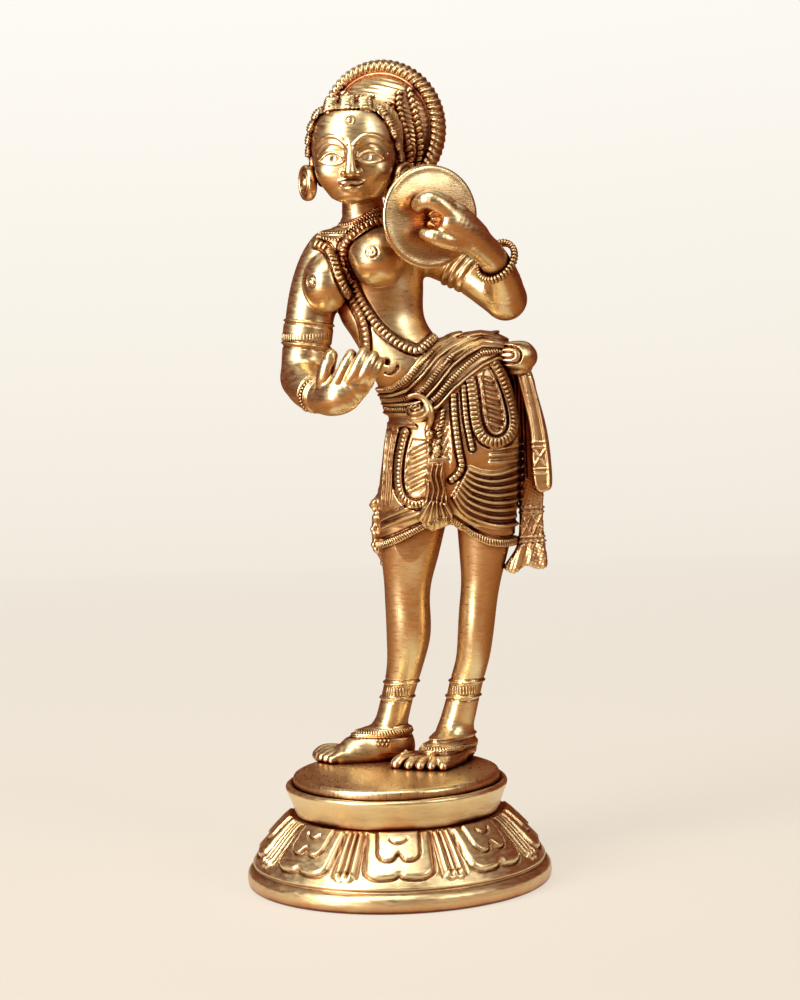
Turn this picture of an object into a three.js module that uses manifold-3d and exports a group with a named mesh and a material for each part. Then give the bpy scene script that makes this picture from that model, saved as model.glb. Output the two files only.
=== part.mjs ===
// A cast brass figurine of a dancing apsara on a round lotus pedestal, holding up a hand mirror.
// Millimetres, +Z up, -Y is the display front. The origin is the centre of the pedestal's resting face.
// Her right side is at -X. The pieces are those of the wax model: tiers, limbs, dress and laid-on ornaments.
import * as THREE from "three";
import { mergeVertices } from "three/addons/utils/BufferGeometryUtils.js";
import Module from "manifold-3d";

const wasm = await Module();
wasm.setup();

// Driving dimensions
const fitGap = 0.3; // clearance between a laid-on piece and what carries it

const lotusRadius = 40.3;
const lotusHeight = 19;
const petalCount = 8;
const petalRelief = 0.7;
const petalHeartRelief = 0.5; // of the scalloped heart above its petal
const drumFootRadius = 27;
const drumRimRadius = 29.3;
const drumHeight = 7.6;
const plateRadius = 27.3;
const plateHeight = 2.9;

const figureHeight = 186.5; // soles to the top of the hair bun
const ankletRelief = 0.7;
const lowerAnkletLevels = [7.6, 10.2];
const upperAnkletLevels = [16.6, 21.8];
const hemRelief = 0.9;
const pleatRelief = 0.8;
const pleatWidth = 1.3;
const pleatCount = 8;
const backFoldCount = 9;
const backFoldPitch = 4.4;
const backFoldWidth = 2;
const backFoldSag = 0.014; // rise of a back fold per square of the distance from its middle
const swagRelief = 1.2;
const swagWidth = 2.7;
const strandWidth = 1.9;
const panelRelief = 0.4;
const tasselRelief = 1.8;
const centrePleatRelief = 1.5;
const girdleRelief = 1.1;
const girdleBands = 6;
const cordRelief = 0.9;
const cordWidth = 2.2;
const collarRelief = 0.7;
const bangleRelief = 0.9;
const claspRadius = 3.6;
const claspHeight = 2.0;
const tailThickness = 3.4;
const longTailFront = 5.4; // depth of the long sash end's front face behind the figure's origin
const rightTailFront = 12;
const mirrorRadius = 13.2;
const mirrorThickness = 1.8;
const mirrorTurn = 24; // degrees, face turned to her left
const headTurn = 6; // degrees, face turned to her right
const bunTurn = 26; // degrees, the bun's face turned to her right
const hairRelief = 1.3;
const bunRadius = 17.9;
const bunThickness = 8;
const bunRimWidth = 3;
const bunDome = 1.6; // of the brushed hair before the rim's face
const bunSetBack = 17.8; // behind the head's centre
const bunRise = 5.1; // over the head's centre
const earDiscRadius = 4.6;
const earDiscThickness = 2.8;
const earDiscDrop = 8.3; // under the head's centre
const earDiscSpread = 12.7; // to each side of the head's centre
const browMarkRadius = 1.3;
const browMarkRise = 5.6; // over the head's centre
const fringeRise = 9.4; // of the fringe's locks over the head's centre
const fingerRadius = 1.7;
const gripFingerRadius = 2.1;
const toeRadius = 1.8;

// Level of the soles above the resting face
const standLevel = lotusHeight + drumHeight + plateHeight;

// Body sections, above the soles: [z, x, y, half width, half depth]
const torsoSections = [
  [96, 12.3, 4.2, 10.6, 8.8],
  [102.5, 10, 3, 11.8, 9.6],
  [106.5, 8.2, 2.6, 11.6, 9.4],
  [110.5, 5.8, 2.8, 11.3, 8.8],
  [116.1, 2, 3.4, 10.7, 8.2],
  [118.9, 0.5, 3.8, 10.9, 8.1],
  [122.5, 0, 4, 11, 8.3],
  [126.5, -0.1, 4, 11.3, 8.6],
  [130.5, -1, 4.2, 12.2, 9],
  [134.5, -2, 4.4, 13.2, 8.8],
  [138.5, -3, 4.6, 13.4, 7.9],
  [141.5, -3.5, 4.7, 10.4, 6.8],
  [144.5, -3.7, 4.4, 6.4, 5.8],
  [147.5, -3.8, 4, 5.5, 5.4],
  [153, -4, 3.4, 5.2, 5.2],
];
const hipSections = [
  [64, 16.5, 8, 14, 9],
  [68, 16.6, 7.6, 17.2, 11.5],
  [73, 17.1, 7, 17.7, 12.5],
  [79, 17.7, 6.4, 17.7, 13.2],
  [84, 18.1, 6, 17.7, 13.6],
  [89, 18.5, 6, 17.5, 13.8],
  [94.5, 18, 6, 17.1, 13.6],
  [99, 17.6, 6, 17.1, 13],
  [104, 17.6, 6, 16.7, 12],
  [108.5, 19.3, 6, 14.6, 10.5],
  [111.8, 21.6, 6, 11.4, 8.8],
  [114, 23.4, 6, 6.6, 5.6],
];
const rightLegSections = [
  [7.4, -1.9, 15.6, 5, 5.4],
  [11, -0.8, 15.4, 4.5, 4.9],
  [16, 0.6, 15.2, 4.4, 4.8],
  [21.5, 2.2, 15, 4.6, 5],
  [27, 3.5, 14.6, 5.1, 6],
  [32.5, 4.3, 14.2, 5.8, 6.9],
  [38, 4.5, 13.4, 6, 6.9],
  [43, 4.4, 12.8, 6, 6.5],
  [48.5, 4.7, 12.3, 6.4, 6.7],
  [54, 5.3, 11.8, 7.4, 7.6],
  [60, 6, 10.8, 8.4, 8.4],
  [68, 8, 9.5, 8.6, 8.6],
];
const leftLegSections = [
  [7.4, 15.8, 12.6, 5, 5.4],
  [11, 16.8, 12.2, 4.7, 5],
  [16, 18.2, 11.8, 4.5, 4.8],
  [21.5, 19.6, 11.4, 4.5, 5],
  [27, 21.2, 10.8, 4.5, 5.8],
  [32.5, 22.1, 10.4, 4.7, 6.6],
  [38, 22.7, 9.8, 4.9, 6.6],
  [43, 23.3, 9.2, 5, 6.2],
  [48.5, 24.1, 8.8, 5.3, 6.3],
  [54, 24.8, 8.6, 6.1, 7],
  [60, 25.4, 8.2, 7, 7.8],
  [68, 25.6, 7.6, 7.6, 8.2],
];
const headSections = [
  [149.7, -5.8, -6.4, 2.6, 2.2],
  [150.5, -5.7, -5.7, 4.9, 4.4],
  [152, -5.6, -4.5, 6.9, 6.7],
  [154.5, -5.4, -3.3, 8.8, 8.8],
  [157.5, -5.3, -2.2, 10.2, 10.2],
  [160.5, -5.3, -1.6, 11, 10.9],
  [163.5, -5.2, -1.2, 11.4, 11.3],
  [167.5, -5.2, -0.8, 11.5, 11.6],
  [171.5, -5.2, -0.6, 10.4, 10.8],
  [174.5, -5.1, -0.4, 8, 8.6],
  [176.3, -5.1, -0.2, 4.6, 5.2],
];

// Limb paths, above the soles: [x, y, z, radius]
const rightThighPath = [
  [9, 8, 84, 9.2],
  [7, 10, 72, 9.3],
  [5.8, 11.5, 58, 8.7],
];
const leftThighPath = [
  [26, 7, 84, 9],
  [25.6, 7.8, 72, 8.6],
  [25.2, 8.4, 58, 8],
];
const rightUpperArmPath = [
  [-13.2, 4.6, 137.5, 5.4],
  [-15, 4.3, 133.5, 6.2],
  [-17.2, 3.8, 127, 6.4],
  [-18.8, 3, 119.5, 6.3],
  [-20, 2.4, 111.5, 6.2],
  [-20.5, 1.5, 106.5, 6.1],
];
const rightForearmPath = [
  [-20.6, 0.6, 104.4, 6],
  [-19.4, -5, 102.6, 5.6],
  [-17.4, -9.8, 101.2, 4.9],
  [-16.2, -12, 100.8, 4.5],
];
const rightPalmPath = [
  [-15.4, -13.2, 100.6, 4.2],
  [-13, -16.8, 100.6, 4.7],
  [-9.6, -19.2, 101.8, 4.4],
  [-5.6, -20.8, 104, 3.2],
];
const leftUpperArmPath = [
  [9.5, 7, 136.8, 5.2],
  [16, 6.6, 134.3, 5.6],
  [22.5, 4.8, 131, 5.5],
  [28.5, 2, 126.6, 5.5],
  [31.4, 0.6, 124.2, 5.5],
];
const leftForearmPath = [
  [32.5, -0.6, 123.6, 5.2],
  [32, -5, 128.2, 4.5],
  [30, -9.4, 133.2, 3.9],
  [29.2, -10.8, 134.6, 3.7],
];
const leftPalmPath = [
  [28.6, -11.8, 135.4, 3.6],
  [25, -16.4, 139, 4],
  [21.6, -20.2, 142, 4.6],
  [18.6, -22.6, 144.4, 4.3],
];
// Bent fingers, from the palm to the tip: [x, y, z]
const rightFingerLines = [
  [[-12.2, -20.6, 104], [-10.2, -21.9, 107.6], [-7.9, -20.8, 111.4]],
  [[-9.2, -21.4, 104.2], [-6.8, -23.2, 107.9], [-4.5, -21.8, 112]],
  [[-6.6, -21.4, 104.4], [-4.4, -23.4, 107.6], [-2.1, -22.2, 111]],
  [[-4.6, -20.8, 104.4], [-2.6, -22.8, 106.8], [-0.6, -21.8, 109.6]],
  [[-15.2, -16.6, 102.6], [-14.6, -18.8, 106.6], [-13, -18.6, 111]],
];
const leftFingerLines = [
  [[18.6, -23.6, 146], [14.4, -25.2, 149.6], [10.8, -23.4, 149.2]],
  [[19, -21.4, 147], [15, -22.4, 150], [11, -20.2, 149.6]],
  [[20.6, -21, 140], [16.4, -24, 140.4], [12.2, -23.6, 141.6]],
];
// Rolls of the knot over the left hip: [x, y, z, radius]
const knotRolls = [
  [[32, 2.4, 108.8, 3.5], [35.8, 1, 108.5, 4]],
  [[33.6, 7.4, 108.2, 3.6], [36.6, 4.4, 107.6, 3.6]],
];

// Breasts: [x, y, z, half width, half depth, half height]
const breasts = [
  [-13.9, -3.6, 129.4, 6, 7.2, 7.8],
  [-0.6, -6, 135.6, 7.3, 8.4, 7.6],
];

// Ornament outlines in the front view, above the soles: [x, z]
const girdleTop = [
  [-6, 101.4], [-2, 101.7], [2, 102.2], [6, 105.2], [10, 110], [14, 113.4], [18, 115.6], [22, 117],
  [26, 117.4], [30, 117.2], [34, 116.6], [38, 116],
];
const girdleFoot = [
  [-6, 93.4], [-2, 93.4], [2, 93.4], [6, 93.4], [10, 93.5], [14, 95.2], [18, 99], [22, 102.6], [26, 105.2],
  [30, 106.8], [34, 105.9], [38, 105],
];
const rightHemTop = [[-8, 58.8], [-1.7, 60.6], [2.6, 62.4], [8.4, 65.2], [12.5, 67.6]];
const rightHemFoot = [[-8, 56.6], [-1.7, 58.4], [2.6, 60.2], [8.4, 63.3], [12.5, 65.6]];
const leftHemTop = [[17.6, 67], [22, 63.4], [26.5, 61.2], [30.4, 60.4], [38, 60.2]];
const leftHemFoot = [[17.6, 64.5], [22, 61], [26.5, 58.9], [30.4, 58.2], [38, 58]];
const collarTop = [[-17, 143], [-14.6, 144.8], [-9, 146.4], [0.6, 149.2], [9, 149]];
const collarFoot = [
  [-17, 140.2], [-12.6, 139.4], [-9.6, 139.4], [-6.6, 141.6], [-2.8, 143.8], [3, 144.4], [9, 143.4],
];
const outerCord = [
  [0.6, 144.9], [-3.6, 143.4], [-7.5, 140.6], [-9.3, 138], [-9.2, 134.6], [-7.8, 131], [-5.9, 126],
  [-4, 122.3], [-1.8, 118.8], [1.4, 115.4], [5.2, 112.6], [8.9, 111.2], [10.9, 112], [13.1, 113.6],
  [15.4, 114.9], [18.3, 115.7],
];
const innerCord = [
  [-16.2, 139.6], [-13.5, 138.2], [-11.6, 135.2], [-10.3, 131.1], [-8.4, 126.6], [-6.6, 123], [-5, 119.6],
  [-4.3, 116.2], [-4.2, 112], [-4.4, 107.5],
];
const rightSwagLine = [
  [5.2, 90], [3.9, 85.4], [3.1, 80.3], [3.1, 75.4], [4.3, 72.3], [6.8, 70.8], [9.2, 71.2],
];
const leftSwagLine = [
  [22.5, 103], [23, 99.5], [23.3, 95.4], [23.9, 91.3], [25.3, 88.3], [27.9, 86.7], [30.9, 86.9], [33.3, 89],
  [33.8, 92.7], [33.1, 96.9], [31.9, 101.1], [30.5, 104.8],
];
const strandLine = [
  [18, 99.4], [18.1, 94.4], [18.6, 88.6], [19.2, 83.9], [19.6, 81.2], [18.7, 78.9], [16.9, 77.3],
];
const rightPanel = [
  [6.9, 88.4], [5.5, 84], [4.9, 79.5], [4.8, 76.2], [5.9, 73.8], [8.2, 73.6], [9.2, 75], [9.8, 80],
  [10.6, 83], [10.8, 88],
];
const leftPanel = [
  [25.4, 103], [25.8, 98.7], [26.2, 94.6], [27, 90.6], [29.1, 89], [31.1, 90.7], [31, 95.1], [30, 99.6],
  [28.5, 103.2],
];
const tasselOutline = [
  [14.4, 94.2], [13.4, 89.8], [12, 86.4], [12.4, 83.8], [14.4, 83.8], [14.8, 86.4], [15.4, 90], [15.8, 94.2],
];
const pleatOutline = [
  [11.4, 81.8], [9.8, 72.4], [7.4, 66.9], [9.2, 64.9], [11.4, 63.2], [14.2, 64.1], [16.9, 65.4],
  [17.2, 68.4], [15.9, 71.4], [15, 81.8],
];
const topPleat = [[22, 79.9], [24, 78.9], [27, 78.2], [30, 78.2], [33, 78.8], [37, 79.6]];
const footPleat = [[19, 70.4], [20.2, 67.6], [22, 65.4], [25.4, 63.4], [30.4, 62.2], [37, 62]];
const rightFolds = [
  [[-7, 63.2], [-4, 65], [-0.5, 66.9], [1.8, 68]],
  [[-7, 60.8], [-3, 63.4], [3.1, 66.3], [6.2, 67.6]],
];
const longTailOutline = [
  [33.4, 105], [33.2, 96], [33.6, 84], [34.4, 73], [34.8, 67.5], [34.4, 60], [32.6, 55.4], [30.4, 51.9],
  [32.6, 51], [37.4, 52.4], [39.6, 51.4], [41.4, 53.4], [41.2, 60], [41, 66.4], [41.4, 73], [41.8, 84],
  [40.6, 96], [38.4, 105],
];
const shortTailOutline = [
  [34.6, 104.4], [38.2, 104.2], [40.2, 98.3], [42.5, 88.6], [43.5, 77.6], [43.2, 73.4], [41.5, 72.4],
  [38.8, 74], [38.2, 84.3], [37.2, 93.1],
];
const rightTailOutline = [
  [3, 78], [-0.8, 77.4], [-2.3, 72.9], [-4.7, 69.6], [-4.7, 68.3], [-3.7, 67], [-4.4, 64.8], [-4.4, 57.8],
  [-3.4, 55.7], [-2, 53], [2, 57], [4, 64],
];

const vector = ([x, y, z]) => new THREE.Vector3(x, y, z);

// A closed three.js geometry as a solid that can be joined and cut.
function solidOf(geometry) {
  const bare = new THREE.BufferGeometry();
  bare.setAttribute("position", geometry.getAttribute("position").clone());
  if (geometry.index) bare.setIndex(geometry.index.clone());
  const merged = mergeVertices(bare, 1e-4);
  const corners = [];
  for (let i = 0; i < merged.index.count; i += 3) {
    const [a, b, c] = [0, 1, 2].map((k) => merged.index.getX(i + k));
    if (a !== b && b !== c && c !== a) corners.push(a, b, c);
  }
  return new wasm.Manifold(
    new wasm.Mesh({
      numProp: 3,
      vertProperties: merged.attributes.position.array,
      triVerts: new Uint32Array(corners),
    }),
  );
}

const join = (...solids) => solids.reduce((whole, next) => whole.add(next));
const cut = (solid, ...cutters) => cutters.reduce((left, cutter) => left.subtract(cutter), solid);
const common = (...solids) => solids.reduce((whole, next) => whole.intersect(next));

// The largest body of a solid, so that a cut leaves no loose crumbs.
const mainBody = (solid) => solid.decompose().sort((a, b) => b.volume() - a.volume())[0];

// Rings of points, joined into one closed skin with a flat cap at each end.
function skinOf(rings) {
  const sides = rings[0].length;
  const faces = [];
  for (let r = 0; r < rings.length - 1; r++) {
    for (let s = 0; s < sides; s++) {
      const a = r * sides + s;
      const b = r * sides + ((s + 1) % sides);
      faces.push(a, b, b + sides, a, b + sides, a + sides);
    }
  }
  const last = (rings.length - 1) * sides;
  for (let s = 1; s < sides - 1; s++) {
    faces.push(0, s + 1, s, last, last + s, last + s + 1);
  }
  const points = rings.flat().flatMap((p) => [p.x, p.y, p.z]);
  const geometry = new THREE.BufferGeometry();
  geometry.setAttribute("position", new THREE.Float32BufferAttribute(points, 3));
  geometry.setIndex(faces);
  return solidOf(geometry);
}

// A body of level elliptical sections, each grown outwards by the same amount.
function levelBody(sections, grow = 0, sides = 16) {
  const rings = sections.map(([z, x, y, halfWidth, halfDepth], i) => {
    const lift = i === 0 ? -grow : i === sections.length - 1 ? grow : 0;
    return Array.from({ length: sides }, (_, s) => {
      const angle = (2 * Math.PI * s) / sides;
      return new THREE.Vector3(
        x + (halfWidth + grow) * Math.cos(angle),
        y + (halfDepth + grow) * Math.sin(angle),
        z + lift,
      );
    });
  });
  return skinOf(rings);
}

// A round limb along a path, each end rounded off, grown outwards by the same amount.
function limb(path, grow = 0, sides = 10) {
  const centres = path.map(vector);
  const tangents = centres.map((_, i) =>
    centres[Math.min(i + 1, centres.length - 1)].clone().sub(centres[Math.max(i - 1, 0)]).normalize(),
  );
  let across = new THREE.Vector3(0, 1, 0).cross(tangents[0]);
  if (across.length() < 0.3) across = new THREE.Vector3(1, 0, 0).cross(tangents[0]);
  const rings = [];
  const addRing = (centre, tangent, radius) => {
    const u = across.clone().addScaledVector(tangent, -across.dot(tangent)).normalize();
    const v = tangent.clone().cross(u);
    rings.push(
      Array.from({ length: sides }, (_, s) => {
        const angle = (2 * Math.PI * s) / sides;
        const [along, aside] = [radius * Math.cos(angle), radius * Math.sin(angle)];
        return centre.clone().addScaledVector(u, along).addScaledVector(v, aside);
      }),
    );
    across = u;
  };
  const endSteps = [65, 35];
  const radii = path.map((p) => p[3] + grow);
  for (const degrees of endSteps) {
    const angle = THREE.MathUtils.degToRad(degrees);
    addRing(
      centres[0].clone().addScaledVector(tangents[0], -radii[0] * Math.sin(angle)),
      tangents[0],
      radii[0] * Math.cos(angle),
    );
  }
  centres.forEach((centre, i) => addRing(centre, tangents[i], radii[i]));
  const end = centres.length - 1;
  for (const degrees of [...endSteps].reverse()) {
    const angle = THREE.MathUtils.degToRad(degrees);
    addRing(
      centres[end].clone().addScaledVector(tangents[end], radii[end] * Math.sin(angle)),
      tangents[end],
      radii[end] * Math.cos(angle),
    );
  }
  return skinOf(rings);
}

// An egg-shaped solid.
function egg([x, y, z, halfWidth, halfDepth, halfHeight], grow = 0, sides = 14) {
  const geometry = new THREE.SphereGeometry(1, sides, sides / 2);
  geometry.rotateX(Math.PI / 2);
  geometry.scale(halfWidth + grow, halfDepth + grow, halfHeight + grow);
  geometry.translate(x, y, z);
  return solidOf(geometry);
}

// A turned solid: profile points [radius, height] along an axis from a centre.
function turned(profile, centre, axis, segments = 32) {
  const geometry = new THREE.LatheGeometry(profile.map(([r, h]) => new THREE.Vector2(r, h)), segments);
  const lathed = new THREE.Vector3(0, 1, 0);
  geometry.applyQuaternion(new THREE.Quaternion().setFromUnitVectors(lathed, axis.clone().normalize()));
  geometry.translate(centre.x, centre.y, centre.z);
  return solidOf(geometry);
}

// A plate: an outline [x, z] of the front view, extruded from one depth to another.
function plate(outline, fromY, toY) {
  const shape = new THREE.Shape(outline.map(([x, z]) => new THREE.Vector2(x, z)));
  const geometry = new THREE.ExtrudeGeometry(shape, { depth: toY - fromY, bevelEnabled: false, steps: 1 });
  geometry.rotateX(Math.PI / 2);
  geometry.translate(0, toY, 0);
  return solidOf(geometry);
}

// The outline of a strip of even width along a line in the front view.
function strip(line, width) {
  const curve = new THREE.SplineCurve(line.map(([x, z]) => new THREE.Vector2(x, z)));
  const steps = line.length * 2;
  const left = [];
  const right = [];
  for (let i = 0; i <= steps; i++) {
    const point = curve.getPoint(i / steps);
    const tangent = curve.getTangent(i / steps);
    left.push([point.x - (tangent.y * width) / 2, point.y + (tangent.x * width) / 2]);
    right.push([point.x + (tangent.y * width) / 2, point.y - (tangent.x * width) / 2]);
  }
  return [...left, ...right.reverse()];
}

// Beyond the whole figure to the front, to the back and to each side
const farFront = -60;
const farBack = 60;
const farSide = 60;
const roundSegments = 40;
const fineness = 0.06; // how far a finished surface may stray when its small faces are merged

// Body shapes as functions of how far they are grown
const torsoShape = (grow) => join(levelBody(torsoSections, grow, 16), ...breasts.map((b) => egg(b, grow)));
const hipShape = (grow) =>
  join(levelBody(hipSections, grow, 16), limb(rightThighPath, grow, 12), limb(leftThighPath, grow, 12));
const waistShape = (grow) => join(torsoShape(grow), hipShape(grow));
const rightLegShape = (grow) => levelBody(rightLegSections, grow, 12);
const leftLegShape = (grow) => levelBody(leftLegSections, grow, 12);
const headShape = (grow) => levelBody(headSections, grow, 16);
const rightUpperArmShape = (grow) => limb(rightUpperArmPath, grow, 10);
const leftUpperArmShape = (grow) => limb(leftUpperArmPath, grow, 10);

// A laid-on strip: the part of a thin skin over a body that lies inside an outline.
function laidOn(bodyShape, relief, outline, fromY = farFront, toY = 4) {
  const skin = cut(bodyShape(fitGap + relief), bodyShape(fitGap));
  return mainBody(common(skin, plate(outline, fromY, toY)));
}

function turnedAxis(degrees) {
  const angle = THREE.MathUtils.degToRad(degrees);
  return new THREE.Vector3(-Math.sin(angle), -Math.cos(angle), 0);
}
const faceAxis = turnedAxis(headTurn);
const bunAxis = turnedAxis(bunTurn);
const mirrorAxis = turnedAxis(-mirrorTurn);

// Pedestal
const lotusAxis = new THREE.Vector3(0, 0, 1);
const wallFoot = 6.3;
const wallTop = 17;

// The sloping wall between the rim and the drum, raised by a relief.
function wallProfile(relief) {
  return [
    [lotusRadius - 1.4 + relief, wallFoot],
    [lotusRadius - 3.2 + relief, 9.1],
    [lotusRadius - 5.7 + relief, 11.8],
    [lotusRadius - 8.1 + relief, 14.4],
    [lotusRadius - 10.7 + relief, wallTop],
  ];
}

// A plan outline [arc across, radius], extruded up and cut to the raised wall, at a share of the circle.
function wallMark(outline, relief, share) {
  const wall = turned(
    [[0, wallFoot], ...wallProfile(relief), [0, wallTop]],
    new THREE.Vector3(),
    lotusAxis,
    roundSegments,
  );
  const corners = outline.map(([across, radius]) => {
    const angle = across / radius;
    return new THREE.Vector2(radius * Math.sin(angle), -radius * Math.cos(angle));
  });
  const shape = new THREE.Shape(corners);
  const geometry = new THREE.ExtrudeGeometry(shape, { depth: lotusHeight, bevelEnabled: false });
  geometry.rotateZ(2 * Math.PI * share);
  return common(solidOf(geometry), wall);
}

// Half outlines of the marks in plan: [arc across, radius]
const petalOutline = [[8.4, 27.4], [8.9, 31], [9.2, 34.8], [8.4, 36.4], [6.2, 37.1], [2, 37], [0.4, 36.5]];
const heartOutline = [[5.3, 27.4], [5.4, 31.6], [4.2, 33.3], [2.6, 33.6], [1.2, 33.1], [0.3, 32.3]];
const veinOutline = [[0.3, 27.4], [0.45, 36.6]];
const sideVeinOutline = [[1.35, 27.4], [1.6, 36.2], [2.5, 36], [2.1, 27.4]];

const mirrored = (outline) => [...outline, ...outline.map(([a, r]) => [-a, r]).reverse()];

function lotusBase() {
  const shell = turned(
    [
      [0, 0],
      [lotusRadius - 1.1, 0],
      [lotusRadius - 0.2, 0.6],
      [lotusRadius, 2.2],
      [lotusRadius, 4],
      [lotusRadius - 0.7, 5.6],
      ...wallProfile(0),
      [drumFootRadius + 0.6, lotusHeight - 0.4],
      [drumFootRadius, lotusHeight],
      [0, lotusHeight],
    ],
    new THREE.Vector3(),
    lotusAxis,
    roundSegments,
  );
  const petal = mirrored(petalOutline);
  const heart = mirrored(heartOutline);
  const strip = mirrored(veinOutline);
  const sideStrip = (side) => sideVeinOutline.map(([across, radius]) => [across * side, radius]);
  const marks = [];
  for (let i = 0; i < petalCount; i++) {
    const share = i / petalCount;
    const between = (i + 0.5) / petalCount;
    marks.push(wallMark(petal, petalRelief, share));
    marks.push(wallMark(heart, petalRelief + petalHeartRelief, share));
    marks.push(wallMark(strip, petalRelief, between));
    marks.push(wallMark(sideStrip(1), petalRelief, between), wallMark(sideStrip(-1), petalRelief, between));
  }
  return join(shell, ...marks);
}

function baseDrum() {
  return turned(
    [
      [0, 0],
      [drumFootRadius, 0],
      [drumRimRadius - 0.8, drumHeight * 0.6],
      [drumRimRadius, drumHeight - 0.7],
      [drumRimRadius - 0.6, drumHeight],
      [0, drumHeight],
    ],
    new THREE.Vector3(0, 0, lotusHeight),
    lotusAxis,
    roundSegments,
  );
}

function topPlate() {
  return turned(
    [
      [0, 0],
      [plateRadius - 0.9, 0],
      [plateRadius, plateHeight * 0.5],
      [plateRadius - 0.3, plateHeight],
      [0, plateHeight],
    ],
    new THREE.Vector3(0, 0, lotusHeight + drumHeight),
    lotusAxis,
    roundSegments,
  );
}

// A foot from heel to toes, cut flat at the sole.
function footShape(heel, aim, length, spread, grow = 0) {
  const [x, y] = heel;
  const along = (d, side = 0) => [x + aim[0] * d - aim[1] * side, y + aim[1] * d + aim[0] * side];
  const [heelEnd, middle, ball] = [along(0), along(length * 0.3), along(length * 0.6)];
  const arch = limb([[...heelEnd, 3, 4.2], [...middle, 3.4, 4.6], [...ball, 1.8, 3.8]], grow);
  const ankle = limb([[...along(1.5), 3.6, 4.6], [...along(2), 6.4, 4.8]], grow);
  const toes = [-1, -0.5, 0, 0.48, 0.96].map((side, i) =>
    limb(
      [
        [...along(length * 0.6, side * spread * 0.36), 1.4, toeRadius + 0.3],
        [...along(length * (1 - 0.035 * i) - toeRadius, side * spread * 0.5), 0.9, toeRadius - 0.08 * i],
      ],
      grow,
      7,
    ),
  );
  const balls = [-1, 1].map((side) => {
    const back = along(length * 0.3, side * spread * 0.16);
    const front = along(length * 0.64, side * spread * 0.28);
    return limb([[...back, 1.8, 3], [...front, 1.1, 2.4]], grow, 8);
  });
  return join(arch, ankle, ...balls, ...toes);
}

// Everything between two levels
const slice = (low, high) =>
  plate([[-farSide, low], [farSide, low], [farSide, high], [-farSide, high]], farFront, farBack);
const rightFootShape = (grow) => footShape([1, 16], [-0.995, -0.06], 23, 8.5, grow);
const leftFootShape = (grow) => footShape([17.2, 13], [-0.62, -0.78], 19.5, 12, grow);

function foot(shape, legShape) {
  return mainBody(cut(shape(0), slice(-20, 0), slice(lowerAnkletLevels[0] - fitGap, 20), legShape(fitGap)));
}

function anklet(legShape, [low, high]) {
  const skin = cut(legShape(fitGap + ankletRelief), legShape(fitGap));
  return mainBody(common(skin, slice(low, high)));
}

// Dress
const towards = (from, to, share) =>
  from.map(([x, z], i) => [x + (to[i][0] - x) * share, z + (to[i][1] - z) * share]);
const band = (top, foot, spread = 0) => [
  ...top.map(([x, z]) => [x, z + spread]),
  ...foot.map(([x, z]) => [x, z - spread]).reverse(),
];
const rightHem = band(rightHemTop, rightHemFoot);
const leftHem = band(leftHemTop, leftHemFoot);

// What stays clear of both hems, in front and behind
const aroundHems = () =>
  join(
    plate(band(rightHemTop, rightHemFoot, fitGap), farFront, farBack),
    plate(band(leftHemTop, leftHemFoot, fitGap), farFront, farBack),
  );

const girdleClearance = band(girdleTop.map(([x]) => [x, 125]), girdleFoot, fitGap);

// Ridges of the pleats over the left thigh, of two folds over the right one and of the folds behind.
function pleats() {
  const left = Array.from({ length: pleatCount }, (_, i) => towards(topPleat, footPleat, i / pleatCount));
  const front = [...left, ...rightFolds].map((line) => plate(strip(line, pleatWidth), farFront, 6));
  const back = Array.from({ length: backFoldCount }, (_, i) => {
    const level = leftHemTop[0][1] - 2 + backFoldPitch * i;
    const line = [-4, 3, 10, 17, 24, 31, 38].map((x) => [x, level + backFoldSag * (x - 17) ** 2]);
    return plate(strip(line, backFoldWidth), 10, farBack);
  });
  const underGirdle = plate(girdleClearance, farFront, farBack);
  return cut(common(hipShape(pleatRelief), join(...front, ...back)), aroundHems(), underGirdle);
}

function skirt() {
  const hem = [...rightHemFoot, ...leftHemFoot];
  const [start, end] = [hem[0][1], hem[hem.length - 1][1]];
  const [left, right] = [-farSide, farSide];
  const below = plate([[left, 30], [left, start], ...hem, [right, end], [right, 30]], farFront, farBack);
  const whole = join(hipShape(0), pleats());
  return mainBody(cut(whole, below, torsoShape(fitGap), rightLegShape(fitGap), leftLegShape(fitGap)));
}

// A girdle band lies between two shares of the way from the girdle's foot to its top.
function girdleBand(index) {
  const edge = (share, shift) => towards(girdleFoot, girdleTop, share).map(([x, z]) => [x, z + shift]);
  const low = edge(index / girdleBands, fitGap / 2);
  const high = edge((index + 1) / girdleBands, -fitGap / 2);
  return laidOn(waistShape, girdleRelief, [...high, ...low.reverse()], farFront, farBack);
}

const overGirdle = fitGap + girdleRelief;

function hemBand(outline, legShape) {
  return mainBody(cut(laidOn(hipShape, hemRelief, outline, farFront, farBack), legShape(fitGap)));
}

function swag(line, width) {
  const underGirdle = plate(girdleClearance, farFront, farBack);
  return mainBody(cut(laidOn(hipShape, swagRelief, strip(line, width), farFront, 5), underGirdle));
}

// The strips that the centre pleat stops short of
function aroundPleat() {
  const width = strandWidth + 2 * fitGap;
  const lines = [rightSwagLine, strandLine].map((line) => plate(strip(line, width), farFront, 0));
  return [...lines, aroundHems()];
}

// The clasp over the girdle's front, rooted in the body behind it.
const claspCentre = new THREE.Vector3(8.9, -10.5, 95.6);
const claspAxis = new THREE.Vector3(-0.35, -0.93, 0.1);
const claspRoot = 5;

function clasp() {
  const body = turned(
    [
      [0, -claspRoot],
      [claspRadius, -claspRoot],
      [claspRadius, claspHeight * 0.5],
      [claspRadius * 0.72, claspHeight],
      [claspRadius * 0.45, claspHeight * 0.6],
      [claspRadius * 0.3, claspHeight],
      [0, claspHeight * 1.2],
    ],
    claspCentre,
    claspAxis,
    24,
  );
  return mainBody(cut(body, waistShape(overGirdle + fitGap)));
}

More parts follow.
